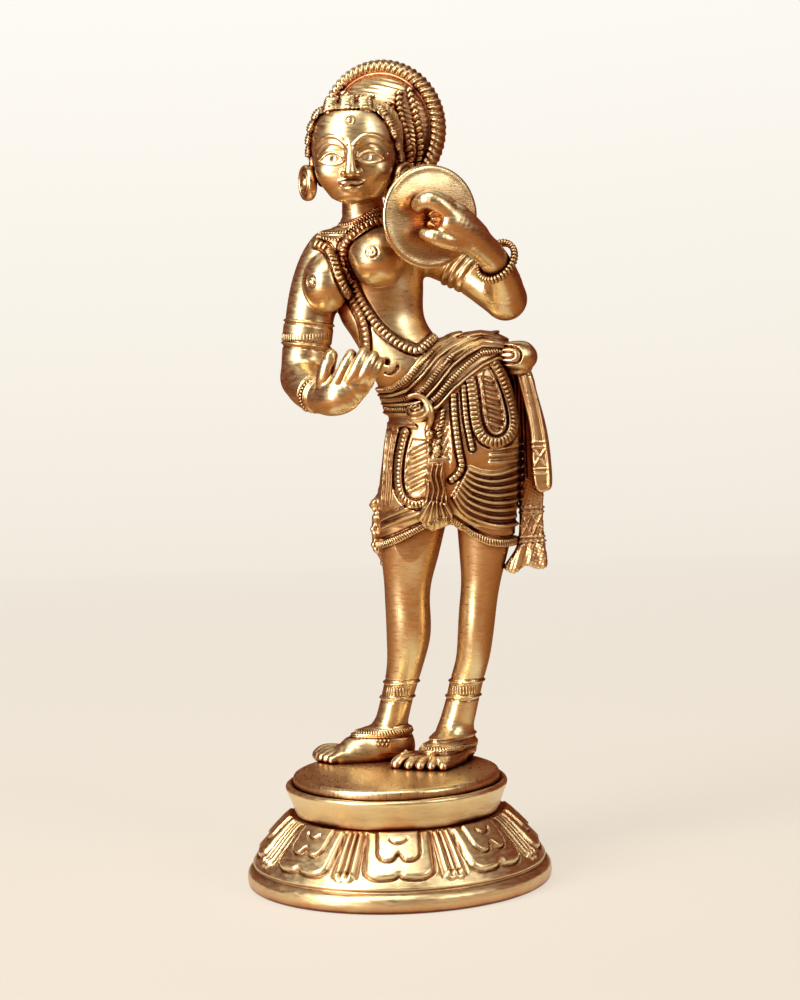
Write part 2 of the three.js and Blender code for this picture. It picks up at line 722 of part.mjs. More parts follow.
function centreTassel() {
  return laidOn(hipShape, tasselRelief, tasselOutline, farFront, 2);
}

function centrePleat() {
  return mainBody(cut(laidOn(hipShape, centrePleatRelief, pleatOutline, farFront, 2), ...aroundPleat()));
}

const knotShape = (grow) => join(...knotRolls.map((roll) => limb(roll, grow, 14)));

function hipKnot() {
  return mainBody(cut(knotShape(0), waistShape(overGirdle + fitGap)));
}

function longTail() {
  const body = plate(longTailOutline, longTailFront, longTailFront + tailThickness + 0.6);
  return mainBody(cut(body, waistShape(overGirdle + fitGap), knotShape(fitGap), leftLegShape(fitGap)));
}

function shortTail() {
  const body = plate(shortTailOutline, longTailFront - fitGap - tailThickness, longTailFront - fitGap);
  return mainBody(cut(body, waistShape(overGirdle + fitGap), knotShape(fitGap)));
}

function rightTail() {
  const body = plate(rightTailOutline, rightTailFront, rightTailFront + tailThickness + 0.6);
  return mainBody(cut(body, hipShape(fitGap + hemRelief + fitGap), rightLegShape(fitGap)));
}

// Upper body
function torso() {
  return torsoShape(0);
}

const overCords = fitGap + Math.max(cordRelief, collarRelief);

function collar() {
  return laidOn(torsoShape, collarRelief, band(collarTop, collarFoot), farFront, farBack);
}

function chestCord(line, overLine) {
  const collarClear = plate(band(collarTop, collarFoot, fitGap * 2), farFront, farBack);
  const girdleClear = plate(band(girdleTop, girdleFoot, fitGap * 2), farFront, farBack);
  const cord = laidOn(torsoShape, cordRelief, strip(line, cordWidth), farFront, 2);
  const crossing = overLine ? [plate(strip(overLine, cordWidth + 2 * fitGap), farFront, farBack)] : [];
  return mainBody(cut(cord, collarClear, girdleClear, ...crossing));
}

function rightUpperArm() {
  return mainBody(cut(rightUpperArmShape(0), torsoShape(overCords + fitGap)));
}

const rightForearmShape = (grow) => limb(rightForearmPath, grow, 10);

function rightForearm() {
  return mainBody(cut(rightForearmShape(0), rightUpperArmShape(fitGap)));
}

// Fingers along their lines, thinner towards the tips.
const fingers = (lines, radius, grow) =>
  lines.map((line) => limb(line.map((p, k) => [...p, radius * (1 - 0.08 * k)]), grow, 7));
const rightHandShape = (grow) =>
  join(limb(rightPalmPath, grow, 10), ...fingers(rightFingerLines, fingerRadius, grow));

function rightHand() {
  return mainBody(cut(rightHandShape(0), rightForearmShape(fitGap), torsoShape(overCords + fitGap)));
}

// A ring round a limb, from a place on its path [segment, share of it] for a width along it.
const ringReach = 14;
function ringOn(bodyShape, path, from, width, relief) {
  const [a, b] = [vector(path[from[0]]), vector(path[from[0] + 1])];
  const axis = b.clone().sub(a).normalize();
  const start = a.clone().lerp(b, from[1]);
  const slab = turned([[0, 0], [ringReach, 0], [ringReach, width], [0, width]], start, axis, 16);
  return mainBody(common(cut(bodyShape(fitGap + relief), bodyShape(fitGap)), slab));
}

function leftUpperArm() {
  return mainBody(cut(leftUpperArmShape(0), torsoShape(overCords + fitGap)));
}

const leftForearmShape = (grow) => limb(leftForearmPath, grow, 10);

function leftForearm() {
  return mainBody(cut(leftForearmShape(0), leftUpperArmShape(fitGap)));
}

const leftHandShape = (grow) =>
  join(limb(leftPalmPath, grow, 10), ...fingers(leftFingerLines, gripFingerRadius, grow));
const mirrorCentre = new THREE.Vector3(13.2, -15.6, 145.8);

function mirrorShape(grow) {
  const half = mirrorThickness / 2 + grow;
  const radius = mirrorRadius + grow;
  return turned(
    [
      [0, -half - 0.7],
      [radius * 0.6, -half - 0.4],
      [radius, -half * 0.4],
      [radius, half * 0.8],
      [radius * 0.9, half * 0.9],
      [radius * 0.6, half * 1.15],
      [0, half * 1.3],
    ],
    mirrorCentre,
    mirrorAxis,
    32,
  );
}

function leftHand() {
  return mainBody(cut(leftHandShape(0), leftForearmShape(fitGap), mirrorShape(fitGap)));
}

function mirror() {
  return mainBody(cut(mirrorShape(0), torsoShape(fitGap), headShape(fitGap + hairRelief)));
}

// Head
const headCentre = new THREE.Vector3(-5.2, -1, 163.5);

function head() {
  const side = new THREE.Vector3(-faceAxis.y, faceAxis.x, 0);
  const at = (forward, sideways, rise) => {
    const p = headCentre.clone().addScaledVector(faceAxis, forward).addScaledVector(side, sideways);
    return [p.x, p.y, p.z + rise];
  };
  const noseLine = [[...at(10, 0, 1.6), 1], [...at(11.4, 0, -2.8), 1.2], [...at(12.6, 0, -5.4), 1.5]];
  const nose = limb(noseLine, 0, 8);
  return mainBody(cut(join(headShape(0), nose), torsoShape(fitGap)));
}

function hairCap() {
  const shell = cut(headShape(fitGap + hairRelief), headShape(fitGap));
  const [faceTop, faceDepth] = [12.2, 34];
  const faceCut = new THREE.BoxGeometry(80, 60, faceDepth);
  faceCut.translate(0, -30, faceTop - faceDepth / 2);
  faceCut.rotateX(THREE.MathUtils.degToRad(-14));
  faceCut.rotateZ(THREE.MathUtils.degToRad(-headTurn));
  faceCut.translate(headCentre.x, headCentre.y, headCentre.z - 2);
  const lobes = [-64, -44, -22, 0, 22, 44, 64].map((degrees) => {
    const angle = THREE.MathUtils.degToRad(degrees + 270 - headTurn);
    const drop = 0.0021 * degrees * degrees;
    const spread = 10 + Math.abs(degrees) * 0.022;
    const place = [headCentre.x + spread * Math.cos(angle), headCentre.y + spread * Math.sin(angle)];
    return egg([...place, headCentre.z + fringeRise - drop, 2.2, 2.2, 2.6], 0, 6);
  });
  const whole = join(cut(shell, solidOf(faceCut)), ...lobes.map((lobe) => cut(lobe, headShape(fitGap))));
  return mainBody(cut(whole, torsoShape(fitGap)));
}

const bunCentre = headCentre.clone().addScaledVector(bunAxis, -bunSetBack);
bunCentre.z += bunRise;

function bunProfile(grow) {
  const half = bunThickness / 2 + grow;
  const radius = bunRadius + grow;
  return [
    [0, -half - 1],
    [radius * 0.5, -half - 0.4],
    [radius * 0.85, -half + 1],
    [radius, -half + 3],
    [radius, half - 1],
    [radius - 0.8, half],
    [radius - bunRimWidth, half],
    [radius - bunRimWidth - 0.8, half - 1.2],
    [radius * 0.62, half + bunDome * 0.7],
    [radius * 0.3, half + bunDome],
    [0, half + bunDome],
  ];
}

function bun() {
  const disc = turned(bunProfile(0), bunCentre, bunAxis, 32);
  return mainBody(cut(disc, headShape(fitGap + hairRelief + fitGap), torsoShape(fitGap)));
}

function earDisc(side) {
  const across = new THREE.Vector3(-faceAxis.y, faceAxis.x, 0).multiplyScalar(side);
  const centre = headCentre.clone().addScaledVector(across, earDiscSpread).addScaledVector(faceAxis, 1.2);
  centre.z -= earDiscDrop;
  const disc = turned(
    [
      [0, -1.4],
      [earDiscRadius, -1.4],
      [earDiscRadius + 0.3, 0],
      [earDiscRadius, earDiscThickness - 1.4],
      [earDiscRadius * 0.6, earDiscThickness - 1.4],
      [earDiscRadius * 0.5, earDiscThickness - 2],
      [0, earDiscThickness - 1.2],
    ],
    centre,
    across.clone().addScaledVector(faceAxis, 0.17),
    20,
  );
  return mainBody(cut(disc, headShape(fitGap), torsoShape(fitGap), mirrorShape(fitGap), hairCap()));
}

function browMark() {
  const centre = headCentre.clone().addScaledVector(faceAxis, 11.8);
  centre.z += browMarkRise;
  const disc = turned(
    [
      [0, -3],
      [browMarkRadius, -3],
      [browMarkRadius, 0.4],
      [browMarkRadius * 0.6, 0.7],
      [0, 0.7],
    ],
    centre,
    faceAxis,
    14,
  );
  return mainBody(cut(disc, headShape(fitGap)));
}

// Assembly
const brass = { color: 0xc8923e, roughness: 0.34, metalness: 1 };

function mesh(name, solid, size = 1) {
  const { vertProperties, triVerts, numProp } = mainBody(solid.simplify(fineness)).getMesh();
  const points = new Float32Array((vertProperties.length / numProp) * 3);
  for (let i = 0; i < points.length / 3; i++) {
    points.set(vertProperties.subarray(i * numProp, i * numProp + 3), i * 3);
  }
  const geometry = new THREE.BufferGeometry();
  geometry.setAttribute("position", new THREE.BufferAttribute(points, 3));
  geometry.setIndex(new THREE.BufferAttribute(triVerts, 1));
  geometry.scale(size, size, size);
  const made = new THREE.Mesh(geometry, new THREE.MeshStandardMaterial(brass));
  made.name = name;
  return made;
}

const figurine = new THREE.Group();
figurine.add(mesh("lotus_base", lotusBase()), mesh("base_drum", baseDrum()), mesh("top_plate", topPlate()));

const figure = new THREE.Group();
figure.position.z = standLevel;
figurine.add(figure);

// Pieces of the figure, whose tables are drawn at the height that the hair bun's top has in them
const drawnHeight = bunCentre.z + bunRadius;
const piece = (name, solid) => mesh(name, solid, figureHeight / drawnHeight);

figure.add(
  piece("right_leg", rightLegShape(0)),
  piece("left_leg", leftLegShape(0)),
  piece("right_foot", foot(rightFootShape, rightLegShape)),
  piece("left_foot", foot(leftFootShape, leftLegShape)),
  piece("right_upper_anklet", anklet(rightLegShape, upperAnkletLevels)),
  piece("left_upper_anklet", anklet(leftLegShape, upperAnkletLevels)),
  piece("right_lower_anklet", anklet(rightLegShape, lowerAnkletLevels)),
  piece("left_lower_anklet", anklet(leftLegShape, lowerAnkletLevels)),
  piece("skirt", skirt()),
  piece("right_hem_band", hemBand(rightHem, rightLegShape)),
  piece("left_hem_band", hemBand(leftHem, leftLegShape)),
  piece("right_thigh_swag", swag(rightSwagLine, strandWidth)),
  piece("left_thigh_swag", swag(leftSwagLine, swagWidth)),
  piece("left_thigh_strand", swag(strandLine, strandWidth)),
  piece("right_thigh_panel", laidOn(hipShape, panelRelief, rightPanel, farFront, 4)),
  piece("left_thigh_panel", laidOn(hipShape, panelRelief, leftPanel, farFront, 4)),
  piece("centre_tassel", centreTassel()),
  piece("centre_pleat", centrePleat()),
);
for (let i = 0; i < girdleBands; i++) {
  figure.add(piece(`girdle_band_${i + 1}`, girdleBand(i)));
}
figure.add(
  piece("girdle_clasp", clasp()),
  piece("left_hip_knot", hipKnot()),
  piece("left_sash_long_tail", longTail()),
  piece("left_sash_short_tail", shortTail()),
  piece("right_sash_tail", rightTail()),
  piece("torso", torso()),
  piece("collar", collar()),
  piece("outer_chest_cord", chestCord(outerCord)),
  piece("inner_chest_cord", chestCord(innerCord, outerCord)),
  piece("right_upper_arm", rightUpperArm()),
  piece("right_forearm", rightForearm()),
  piece("right_hand", rightHand()),
  piece("right_armlet", ringOn(rightUpperArmShape, rightUpperArmPath, [3, 0.05], 7, bangleRelief)),
  piece("right_bangle", ringOn(rightForearmShape, rightForearmPath, [1, 0.7], 3.8, bangleRelief)),
  piece("left_upper_arm", leftUpperArm()),
  piece("left_forearm", leftForearm()),
  piece("left_hand", leftHand()),
  piece("left_armlet", ringOn(leftUpperArmShape, leftUpperArmPath, [1, 0.65], 6, bangleRelief)),
  piece("left_bangle", ringOn(leftForearmShape, leftForearmPath, [1, 0.6], 2.6, bangleRelief)),
  piece("hand_mirror", mirror()),
  piece("head", head()),
  piece("hair_cap", hairCap()),
  piece("hair_bun", bun()),
  piece("right_ear_disc", earDisc(-1)),
  piece("left_ear_disc", earDisc(1)),
  piece("brow_mark", browMark()),
);

export default figurine;
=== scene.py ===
"""A cast brass figurine of a dancing apsara on a round lotus pedestal, holding up a hand mirror.

Shapes are worked out in millimetres and written in metres. The figure's own shapes count their heights
from the soles, and the pedestal's from its resting face. Her right side is at -X, the front at -Y.
"""

import functools
import math

import bpy
import numpy as np
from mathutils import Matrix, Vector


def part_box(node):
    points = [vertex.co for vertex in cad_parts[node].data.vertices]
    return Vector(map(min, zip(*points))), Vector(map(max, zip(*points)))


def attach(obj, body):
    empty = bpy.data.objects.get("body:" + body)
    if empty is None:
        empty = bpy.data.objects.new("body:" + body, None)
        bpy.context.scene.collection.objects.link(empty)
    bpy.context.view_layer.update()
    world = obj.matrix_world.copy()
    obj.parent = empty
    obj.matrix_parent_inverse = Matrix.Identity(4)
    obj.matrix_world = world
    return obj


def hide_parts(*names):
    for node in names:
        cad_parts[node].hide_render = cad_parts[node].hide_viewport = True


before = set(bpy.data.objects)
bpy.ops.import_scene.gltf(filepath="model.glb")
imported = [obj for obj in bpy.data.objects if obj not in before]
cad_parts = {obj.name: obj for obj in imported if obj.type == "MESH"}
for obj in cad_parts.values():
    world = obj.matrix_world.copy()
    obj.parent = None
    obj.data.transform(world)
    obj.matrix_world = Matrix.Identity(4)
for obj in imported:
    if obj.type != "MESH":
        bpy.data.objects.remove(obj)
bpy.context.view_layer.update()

import openvdb
from mathutils import Matrix, Vector

bl_info = {
    "name": "Brass Apsara Figurine",
    "version": (1, 0, 0),
    "blender": (4, 5, 0),
    "location": "View3D > Sidebar > Apsara",
    "description": "Sculpts a cast brass dancing figure with a hand mirror on a lotus pedestal",
    "category": "Object",
}

MM = 0.001
SOLE_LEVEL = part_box("top_plate")[1].z / MM
DRUM_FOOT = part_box("base_drum")[0].z / MM
PLATE_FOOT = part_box("top_plate")[0].z / MM
BLOCK = 6

# Level sections of the body above the soles: height, centre x and y, half width and half depth
TORSO = [
    (92, 14, 5, 9.5, 8), (97, 12, 4, 11, 9), (102.5, 10, 3, 11.8, 9.6), (106.5, 8.2, 2.6, 11.6, 9.4),
    (110.5, 5.8, 2.8, 11.3, 8.8), (116.1, 2, 3.4, 10.7, 8.2), (118.9, 0.5, 3.8, 10.9, 8.1),
    (122.5, 0, 4, 11, 8.3), (126.5, -0.1, 4, 11.3, 8.6), (130.5, -1, 4.2, 12.2, 9), (134.5, -2, 4.4, 13.2, 8.8),
    (138.5, -3, 4.6, 13.4, 7.9), (141.5, -3.5, 4.7, 10.4, 6.8), (144.5, -3.7, 4.4, 6.4, 5.8),
    (147.5, -3.8, 4, 5.5, 5.4), (152, -4, 3.4, 5.2, 5.2), (155, -4.2, 3, 5.2, 5.2),
]
HIPS = [
    (64, 16.5, 8, 14, 9), (68, 16.6, 7.6, 17.2, 11.5), (73, 17.1, 7, 17.7, 12.5), (79, 17.7, 6.4, 17.7, 13.2),
    (84, 18.1, 6, 17.7, 13.6), (89, 18.5, 6, 17.5, 13.8), (94.5, 18, 6, 17.1, 13.6), (99, 17.6, 6, 17.1, 13),
    (104, 17.6, 6, 16.7, 12), (108.5, 19.3, 6, 14.6, 10.5), (111.8, 21.6, 6, 11.4, 8.8), (114, 23.4, 6, 6.6, 5.6),
]
RIGHT_LEG = [
    (3, -2.2, 15.9, 4.9, 5.2), (7.4, -1.9, 15.7, 4.8, 5.2), (11, -0.8, 15.4, 4.5, 4.9), (16, 0.6, 15.2, 4.4, 4.8),
    (21.5, 2.2, 15, 4.6, 5), (27, 3.5, 14.6, 5.1, 6), (32.5, 4.3, 14.2, 5.8, 6.9), (38, 4.5, 13.4, 6, 6.9),
    (43, 4.4, 12.8, 6, 6.5), (48.5, 4.7, 12.3, 6.4, 6.7), (54, 5.3, 11.8, 7.4, 7.6), (60, 6, 10.8, 8.3, 8.3),
    (68, 8, 9.5, 8.4, 8.4),
]
LEFT_LEG = [
    (3, 15.6, 12.8, 4.8, 5), (7.4, 15.9, 12.6, 4.8, 5.2), (11, 16.8, 12.2, 4.7, 5), (16, 18.2, 11.8, 4.5, 4.8),
    (21.5, 19.6, 11.4, 4.5, 5), (27, 21.2, 10.8, 4.5, 5.8), (32.5, 22.1, 10.4, 4.7, 6.6), (38, 22.7, 9.8, 4.9, 6.6),
    (43, 23.3, 9.2, 5, 6.2), (48.5, 24.1, 8.8, 5.3, 6.3), (54, 24.8, 8.6, 6.1, 7), (60, 25.4, 8.2, 7, 7.8),
    (68, 25.6, 7.6, 7.6, 8.2),
]
# The head in its own frame: height from its centre, centre y, half width and half depth
HEAD_CENTRE = (-5.2, -1.0, 163.5)
HEAD_TURN = 6.0
BUN_TURN = 26.0
SKULL = [
    (-13.8, 0, -5.4, 2.6, 2.2), (-13.0, 0, -4.7, 4.9, 4.4), (-11.5, 0, -3.5, 6.9, 6.7), (-9, 0, -2.3, 8.8, 8.8),
    (-6, 0, -1.2, 10.2, 10.2), (-3, 0, -0.6, 11.0, 10.9), (0, 0, -0.2, 11.4, 11.3), (4, 0, 0.2, 11.5, 11.6),
    (8, 0, 0.4, 10.4, 10.8), (11, 0, 0.6, 8.0, 8.6), (12.8, 0, 0.8, 4.6, 5.2),
]
# Limb paths above the soles: x, y, height and radius
RIGHT_THIGH = [(9, 8, 84, 9.2), (7, 10, 72, 9.3), (5.8, 11.5, 56, 8.6)]
LEFT_THIGH = [(26, 7, 84, 9), (25.6, 7.8, 72, 8.6), (25.2, 8.4, 55, 7.9)]
RIGHT_UPPER_ARM = [
    (-13.2, 4.6, 137.5, 5.4), (-15, 4.3, 133.5, 6.2), (-17.2, 3.8, 127, 6.4), (-18.8, 3, 119.5, 6.3),
    (-20, 2.4, 111.5, 6.2), (-20.6, 1.2, 105, 6.1),
]
RIGHT_FOREARM = [(-20.6, 0.4, 104.4, 6), (-19.4, -5, 102.6, 5.6), (-17.6, -9.4, 101.2, 4.9), (-15.2, -14, 100.4, 4.3)]
LEFT_UPPER_ARM = [(9.5, 7, 136.8, 5.2), (16, 6.6, 134.3, 5.6), (22.5, 4.8, 131, 5.5), (28.5, 2, 126.6, 5.5), (32.4, 0, 123.4, 5.4)]
LEFT_FOREARM = [(32.6, -0.8, 123.6, 5.2), (32, -5, 128.2, 4.5), (29.8, -9.6, 133.4, 3.9), (27.6, -13, 136.6, 3.7)]

# Ornament lines in the front view: x and height
OUTER_CORD = [
    (0.6, 144.9), (-3.6, 143.4), (-7.5, 140.6), (-9.3, 138), (-9.2, 134.6), (-7.8, 131), (-5.9, 126), (-4, 122.3),
    (-1.8, 118.8), (1.4, 115.4), (5.2, 112.6), (8.9, 111.2), (10.9, 112), (13.1, 113.6), (15.4, 114.9), (18.3, 115.7),
]
INNER_CORD = [
    (-16.2, 139.6), (-13.5, 138.2), (-11.6, 135.2), (-10.3, 131.1), (-8.4, 126.6), (-6.6, 123), (-5, 119.6),
    (-4.3, 116.2), (-4.2, 112), (-4.4, 107.5),
]
COLLAR_ROWS = [
    [(-14.4, 143.5), (-10.6, 144.2), (-6.6, 144.6), (-2.6, 146.4), (0.6, 148)],
    [(-15.2, 142.2), (-11.4, 142.2), (-8, 142.5), (-4.4, 144.6), (-0.6, 146.4), (3, 146.8)],
    [(-15.9, 141), (-12.6, 140.6), (-9.9, 140.6), (-6.6, 142.8), (-2.8, 144.9), (2, 145.6)],
]
GIRDLE_X = [-6, -3, 2, 6, 10, 14, 18, 22, 26, 30, 36, 42]
GIRDLE_LINES = [
    [100.4, 100.4, 101, 103.6, 108.3, 111.9, 114, 115.4, 115.6, 115, 113.4, 112],
    [99, 99, 99.5, 100.9, 104.6, 109.2, 112.1, 113.9, 114.6, 113.9, 112, 111],
    [97.8, 97.8, 98.2, 98.9, 100.9, 105.5, 109.6, 112, 113.3, 112.6, 110.8, 110],
    [96.7, 96.7, 96.9, 97.2, 98, 102.2, 106.9, 109.8, 111.8, 111.4, 109.6, 109],
    [95.6, 95.6, 95.7, 95.9, 96.3, 99.4, 103.9, 107.2, 110, 110.1, 108.2, 107.6],
    [94.4, 94.4, 94.5, 94.6, 94.8, 96.7, 100.9, 104.1, 106.8, 108.4, 106.8, 106.2],
]
GIRDLE_TOP = [101.4, 101.4, 102.2, 105.2, 110, 113.4, 115.6, 118, 121, 121, 121, 121]
GIRDLE_FOOT = [93.4, 93.4, 93.4, 93.4, 93.5, 95.2, 99, 102.6, 105.2, 106.8, 105.4, 105]
LEFT_SWAG = [
    (22.5, 103), (23, 99.5), (23.3, 95.4), (23.9, 91.3), (25.3, 88.3), (27.9, 86.7), (30.9, 86.9), (33.3, 89),
    (33.8, 92.7), (33.1, 96.9), (31.9, 101.1), (30.5, 104.8), (29, 107.2),
]
RIGHT_SWAG = [(5.2, 90), (3.9, 85.4), (3.1, 80.3), (3.1, 75.4), (4.3, 72.3), (6.8, 70.8), (9.4, 71.2)]
INNER_STRAND = [(18, 99.4), (18.1, 94.4), (18.6, 88.6), (19.2, 83.9), (19.6, 81.2), (18.7, 78.9), (16.9, 77.3)]
OUTER_STRAND = [(20.7, 101.6), (20.9, 97.2), (21.2, 92.9), (21.9, 88.5), (22.5, 85.3)]
ROPE = [(15.2, 95.4), (14.6, 91.6), (13.9, 88.6), (13.3, 86.6)]
HEM_X = [-8, -1.7, 2.6, 8.4, 12.5, 15, 17.6, 22, 26.5, 30.4, 36, 44]
HEM_FOOT = [56.6, 58.4, 60.2, 63.3, 65.6, 65.6, 64.5, 61, 58.9, 58.2, 58, 58]
HEM_TOP = [58.8, 60.6, 62.4, 65.2, 67.6, 68.4, 67, 63.4, 61.2, 60.4, 60.2, 60.2]
PLEAT_TOP = [(21.6, 80), (24, 78.9), (27, 78.2), (30, 78.2), (33, 78.8), (37, 79.6)]
PLEAT_FOOT = [(16.9, 71.4), (18.8, 67.6), (21.4, 65.1), (25.2, 63), (30.4, 61.8), (37, 61.6)]
FAN = [(9.7, 72.2), (7.4, 66.9), (9.2, 64.9), (11.4, 63.1), (14.2, 64.1), (16.9, 65.4), (17.2, 68.4), (15.9, 71.2)]
CENTRE_PLEAT = [(11.3, 82), (15, 82), (15.8, 70.9), (13, 69), (9.6, 71.8)]
LEFT_LEAF = [(25.4, 103.4), (25.8, 98.7), (26.2, 94.6), (27, 90.6), (29.1, 88.9), (31.1, 90.7), (31, 95.1), (30, 99.6), (28.9, 103.7), (27.2, 107)]
RIGHT_LEAF = [(6.9, 88.4), (5.4, 84), (4.8, 79.5), (4.7, 76.2), (5.8, 73.8), (8.2, 73.5), (11, 76), (11, 88)]


class BrassSettings(bpy.types.PropertyGroup):
    """Colours and gloss of the cast brass, and the colour of its painted shade."""

    bright: bpy.props.FloatVectorProperty(
        name="Bright brass", description="Colour of the rubbed high places",
        subtype="COLOR", size=3, default=(0.9, 0.735, 0.395), min=0, max=1,
    )
    # Painted shade: this redder brass is laid where larger hollows and overhangs shut out light, in place of real
    # shade.
    painted_shade_colour: bpy.props.FloatVectorProperty(
        name="Shaded brass", description="Colour of the brass that lies back among the ornaments",
        subtype="COLOR", size=3, default=(0.45, 0.125, 0.028), min=0, max=1,
    )
    dark: bpy.props.FloatVectorProperty(
        name="Patina", description="Colour of the old polish left in the hollows",
        subtype="COLOR", size=3, default=(0.13, 0.015, 0.003), min=0, max=1,
    )
    roughness: bpy.props.FloatProperty(
        name="Roughness", description="Roughness of the rubbed brass", subtype="FACTOR",
        default=0.26, min=0.1, max=1,
    )
    # Reach of the patina in small hollows; six times this reach is the reach of the painted shade.
    patina_and_shade_reach: bpy.props.FloatProperty(
        name="Patina reach", description="Width of a hollow that still holds patina",
        unit="LENGTH", default=1.8 * MM, min=0.1 * MM,
    )


class SculptSettings(bpy.types.PropertyGroup):
    """How finely the wax is worked, and the sizes of what is laid on it."""

    body_grain: bpy.props.FloatProperty(
        name="Body grain", description="Side of the finest cube on smooth limbs", unit="LENGTH",
        default=0.34 * MM, min=0.15 * MM,
    )
    chased_grain: bpy.props.FloatProperty(
        name="Chased grain", description="Side of the finest cube on dress and ornament", unit="LENGTH",
        default=0.27 * MM, min=0.12 * MM,
    )
    face_grain: bpy.props.FloatProperty(
        name="Face grain", description="Side of the finest cube on face, hair and hands", unit="LENGTH",
        default=0.2 * MM, min=0.1 * MM,
    )
    cord_width: bpy.props.FloatProperty(
        name="Cord width", description="Across a ribbed chest cord", unit="LENGTH", default=2.2 * MM, min=0.2 * MM,
    )
    cord_pitch: bpy.props.FloatProperty(
        name="Cord pitch", description="From rib to rib along a chest cord", unit="LENGTH",
        default=1.35 * MM, min=0.2 * MM,
    )
    petals: bpy.props.IntProperty(
        name="Petals", description="Lotus petals round the pedestal", default=8, min=3,
    )


class StageSettings(bpy.types.PropertyGroup):
    """Camera, backdrop and lights."""

    camera_distance: bpy.props.FloatProperty(
        name="Camera distance", description="From the camera to the figurine's middle plane",
        unit="LENGTH", default=0.8, min=0.1,
    )
    camera_height: bpy.props.FloatProperty(
        name="Camera height", description="Above the pedestal's resting face", unit="LENGTH", default=0.19,
    )
    camera_side: bpy.props.FloatProperty(
        name="Camera side", description="Sideways from the pedestal's axis", unit="LENGTH", default=0.0033,
    )
    camera_pitch: bpy.props.FloatProperty(
        name="Camera pitch", description="How far the camera looks down", unit="ROTATION",
        default=math.radians(6.33),
    )
    camera_roll: bpy.props.FloatProperty(
        name="Camera roll", description="How far the picture leans", unit="ROTATION", default=math.radians(1.9),
    )
    lens: bpy.props.FloatProperty(
        name="Lens", description="Focal length in millimetres on a 36 mm sensor", default=110.5, min=1,
    )
    floor_colour: bpy.props.FloatVectorProperty(
        name="Floor colour", description="Pale cream of the floor", subtype="COLOR", size=3,
        default=(0.7, 0.62, 0.515), min=0, max=1,
    )
    wall_colour: bpy.props.FloatVectorProperty(
        name="Backdrop colour", description="Pale cream of the backdrop's top", subtype="COLOR", size=3,
        default=(0.88, 0.87, 0.82), min=0, max=1,
    )
    room: bpy.props.FloatProperty(name="Room light", description="Strength of the world", default=0.16, min=0)
    key_power: bpy.props.FloatProperty(
        name="Key light", description="Power of the large soft box at the left, in watts", default=9.8, min=0,
    )
    fill_power: bpy.props.FloatProperty(
        name="Fill light", description="Power of the light at the upper right, in watts", default=2.4, min=0,
    )


# Curves and flat outlines


def spline_through(knots, values):
    """A natural cubic curve through values at rising knots, held level past its ends."""
    knots = np.asarray(knots, float)
    values = np.asarray(values, float).reshape(len(knots), -1)
    gap = np.diff(knots)
    matrix = np.eye(len(knots))
    right = np.zeros_like(values)
    for i in range(1, len(knots) - 1):
        matrix[i, i - 1 : i + 2] = gap[i - 1], 2 * (gap[i - 1] + gap[i]), gap[i]
        right[i] = 6 * ((values[i + 1] - values[i]) / gap[i] - (values[i] - values[i - 1]) / gap[i - 1])
    bend = np.linalg.solve(matrix, right)

    def at(where):
        where = np.clip(np.asarray(where, float), knots[0], knots[-1])
        i = np.clip(np.searchsorted(knots, where) - 1, 0, len(gap) - 1)
        left = ((knots[i + 1] - where) / gap[i])[..., None]
        share = 1 - left
        curve = (left**3 - left) * bend[i] + (share**3 - share) * bend[i + 1]
        return left * values[i] + share * values[i + 1] + curve * (gap[i] ** 2)[..., None] / 6

    return at


def smooth_line(points, steps=5):
    """A line of points drawn out into a smooth one."""
    points = np.asarray(points, float)
    where = np.linspace(0, len(points) - 1, (len(points) - 1) * steps + 1)
    return spline_through(np.arange(len(points)), points)(where)


def even_line(points, pitch):
    """Points a pitch apart along a line."""
    points = np.asarray(points, float)
    run = np.concatenate([[0], np.cumsum(np.linalg.norm(np.diff(points, axis=0), axis=1))])
    count = max(2, int(round(run[-1] / pitch)) + 1)
    where = np.linspace(0, run[-1], count)
    return np.stack([np.interp(where, run, points[:, k]) for k in range(points.shape[1])], 1)


def away_from(points, line):
    """Distance of flat points from a line, and how far along it they lie, from 0 to 1."""
    line = np.asarray(line, float)
    lengths = np.hypot(*np.diff(line, axis=0).T)
    before = np.concatenate([[0], np.cumsum(lengths)])
    best = np.full(len(points), 1e3)
    where = np.zeros(len(points))
    for a, b, length, start in zip(line[:-1], line[1:], lengths, before):
        share = np.clip((points - a) @ (b - a) / length**2, 0, 1)
        gap = points - a - share[:, None] * (b - a)
        away = np.hypot(gap[:, 0], gap[:, 1])
        closer = away < best
        best = np.where(closer, away, best)
        where = np.where(closer, (start + share * length) / before[-1], where)
    return best, where


def depth_in(points, outline):
    """How deep flat points lie inside a closed outline, and less than 0 outside it."""
    outline = np.asarray(outline, float)
    away = away_from(points, np.vstack([outline, outline[:1]]))[0]
    held = np.zeros(len(points), bool)
    for (ax, az), (bx, bz) in zip(outline, np.roll(outline, -1, axis=0)):
        spans = (az > points[:, 1]) != (bz > points[:, 1])
        if az != bz:
            held ^= spans & (points[:, 0] < (bx - ax) * (points[:, 1] - az) / (bz - az) + ax)
    return np.where(held, away, -away)


def mound(away, half_width):
    """A smooth ridge, 1 on its line and 0 from half its width away."""
    return np.where(away < half_width, 0.5 + 0.5 * np.cos(np.pi * np.minimum(away / half_width, 1)), 0.0)


def rise(depth, width):
    """A smooth step from 0 at an edge to 1 at a depth inside it."""
    share = np.clip(depth / width, 0, 1)
    return share * share * (3 - 2 * share)


# Sculpted shapes: functions that give the distance of points from a surface, less than 0 inside


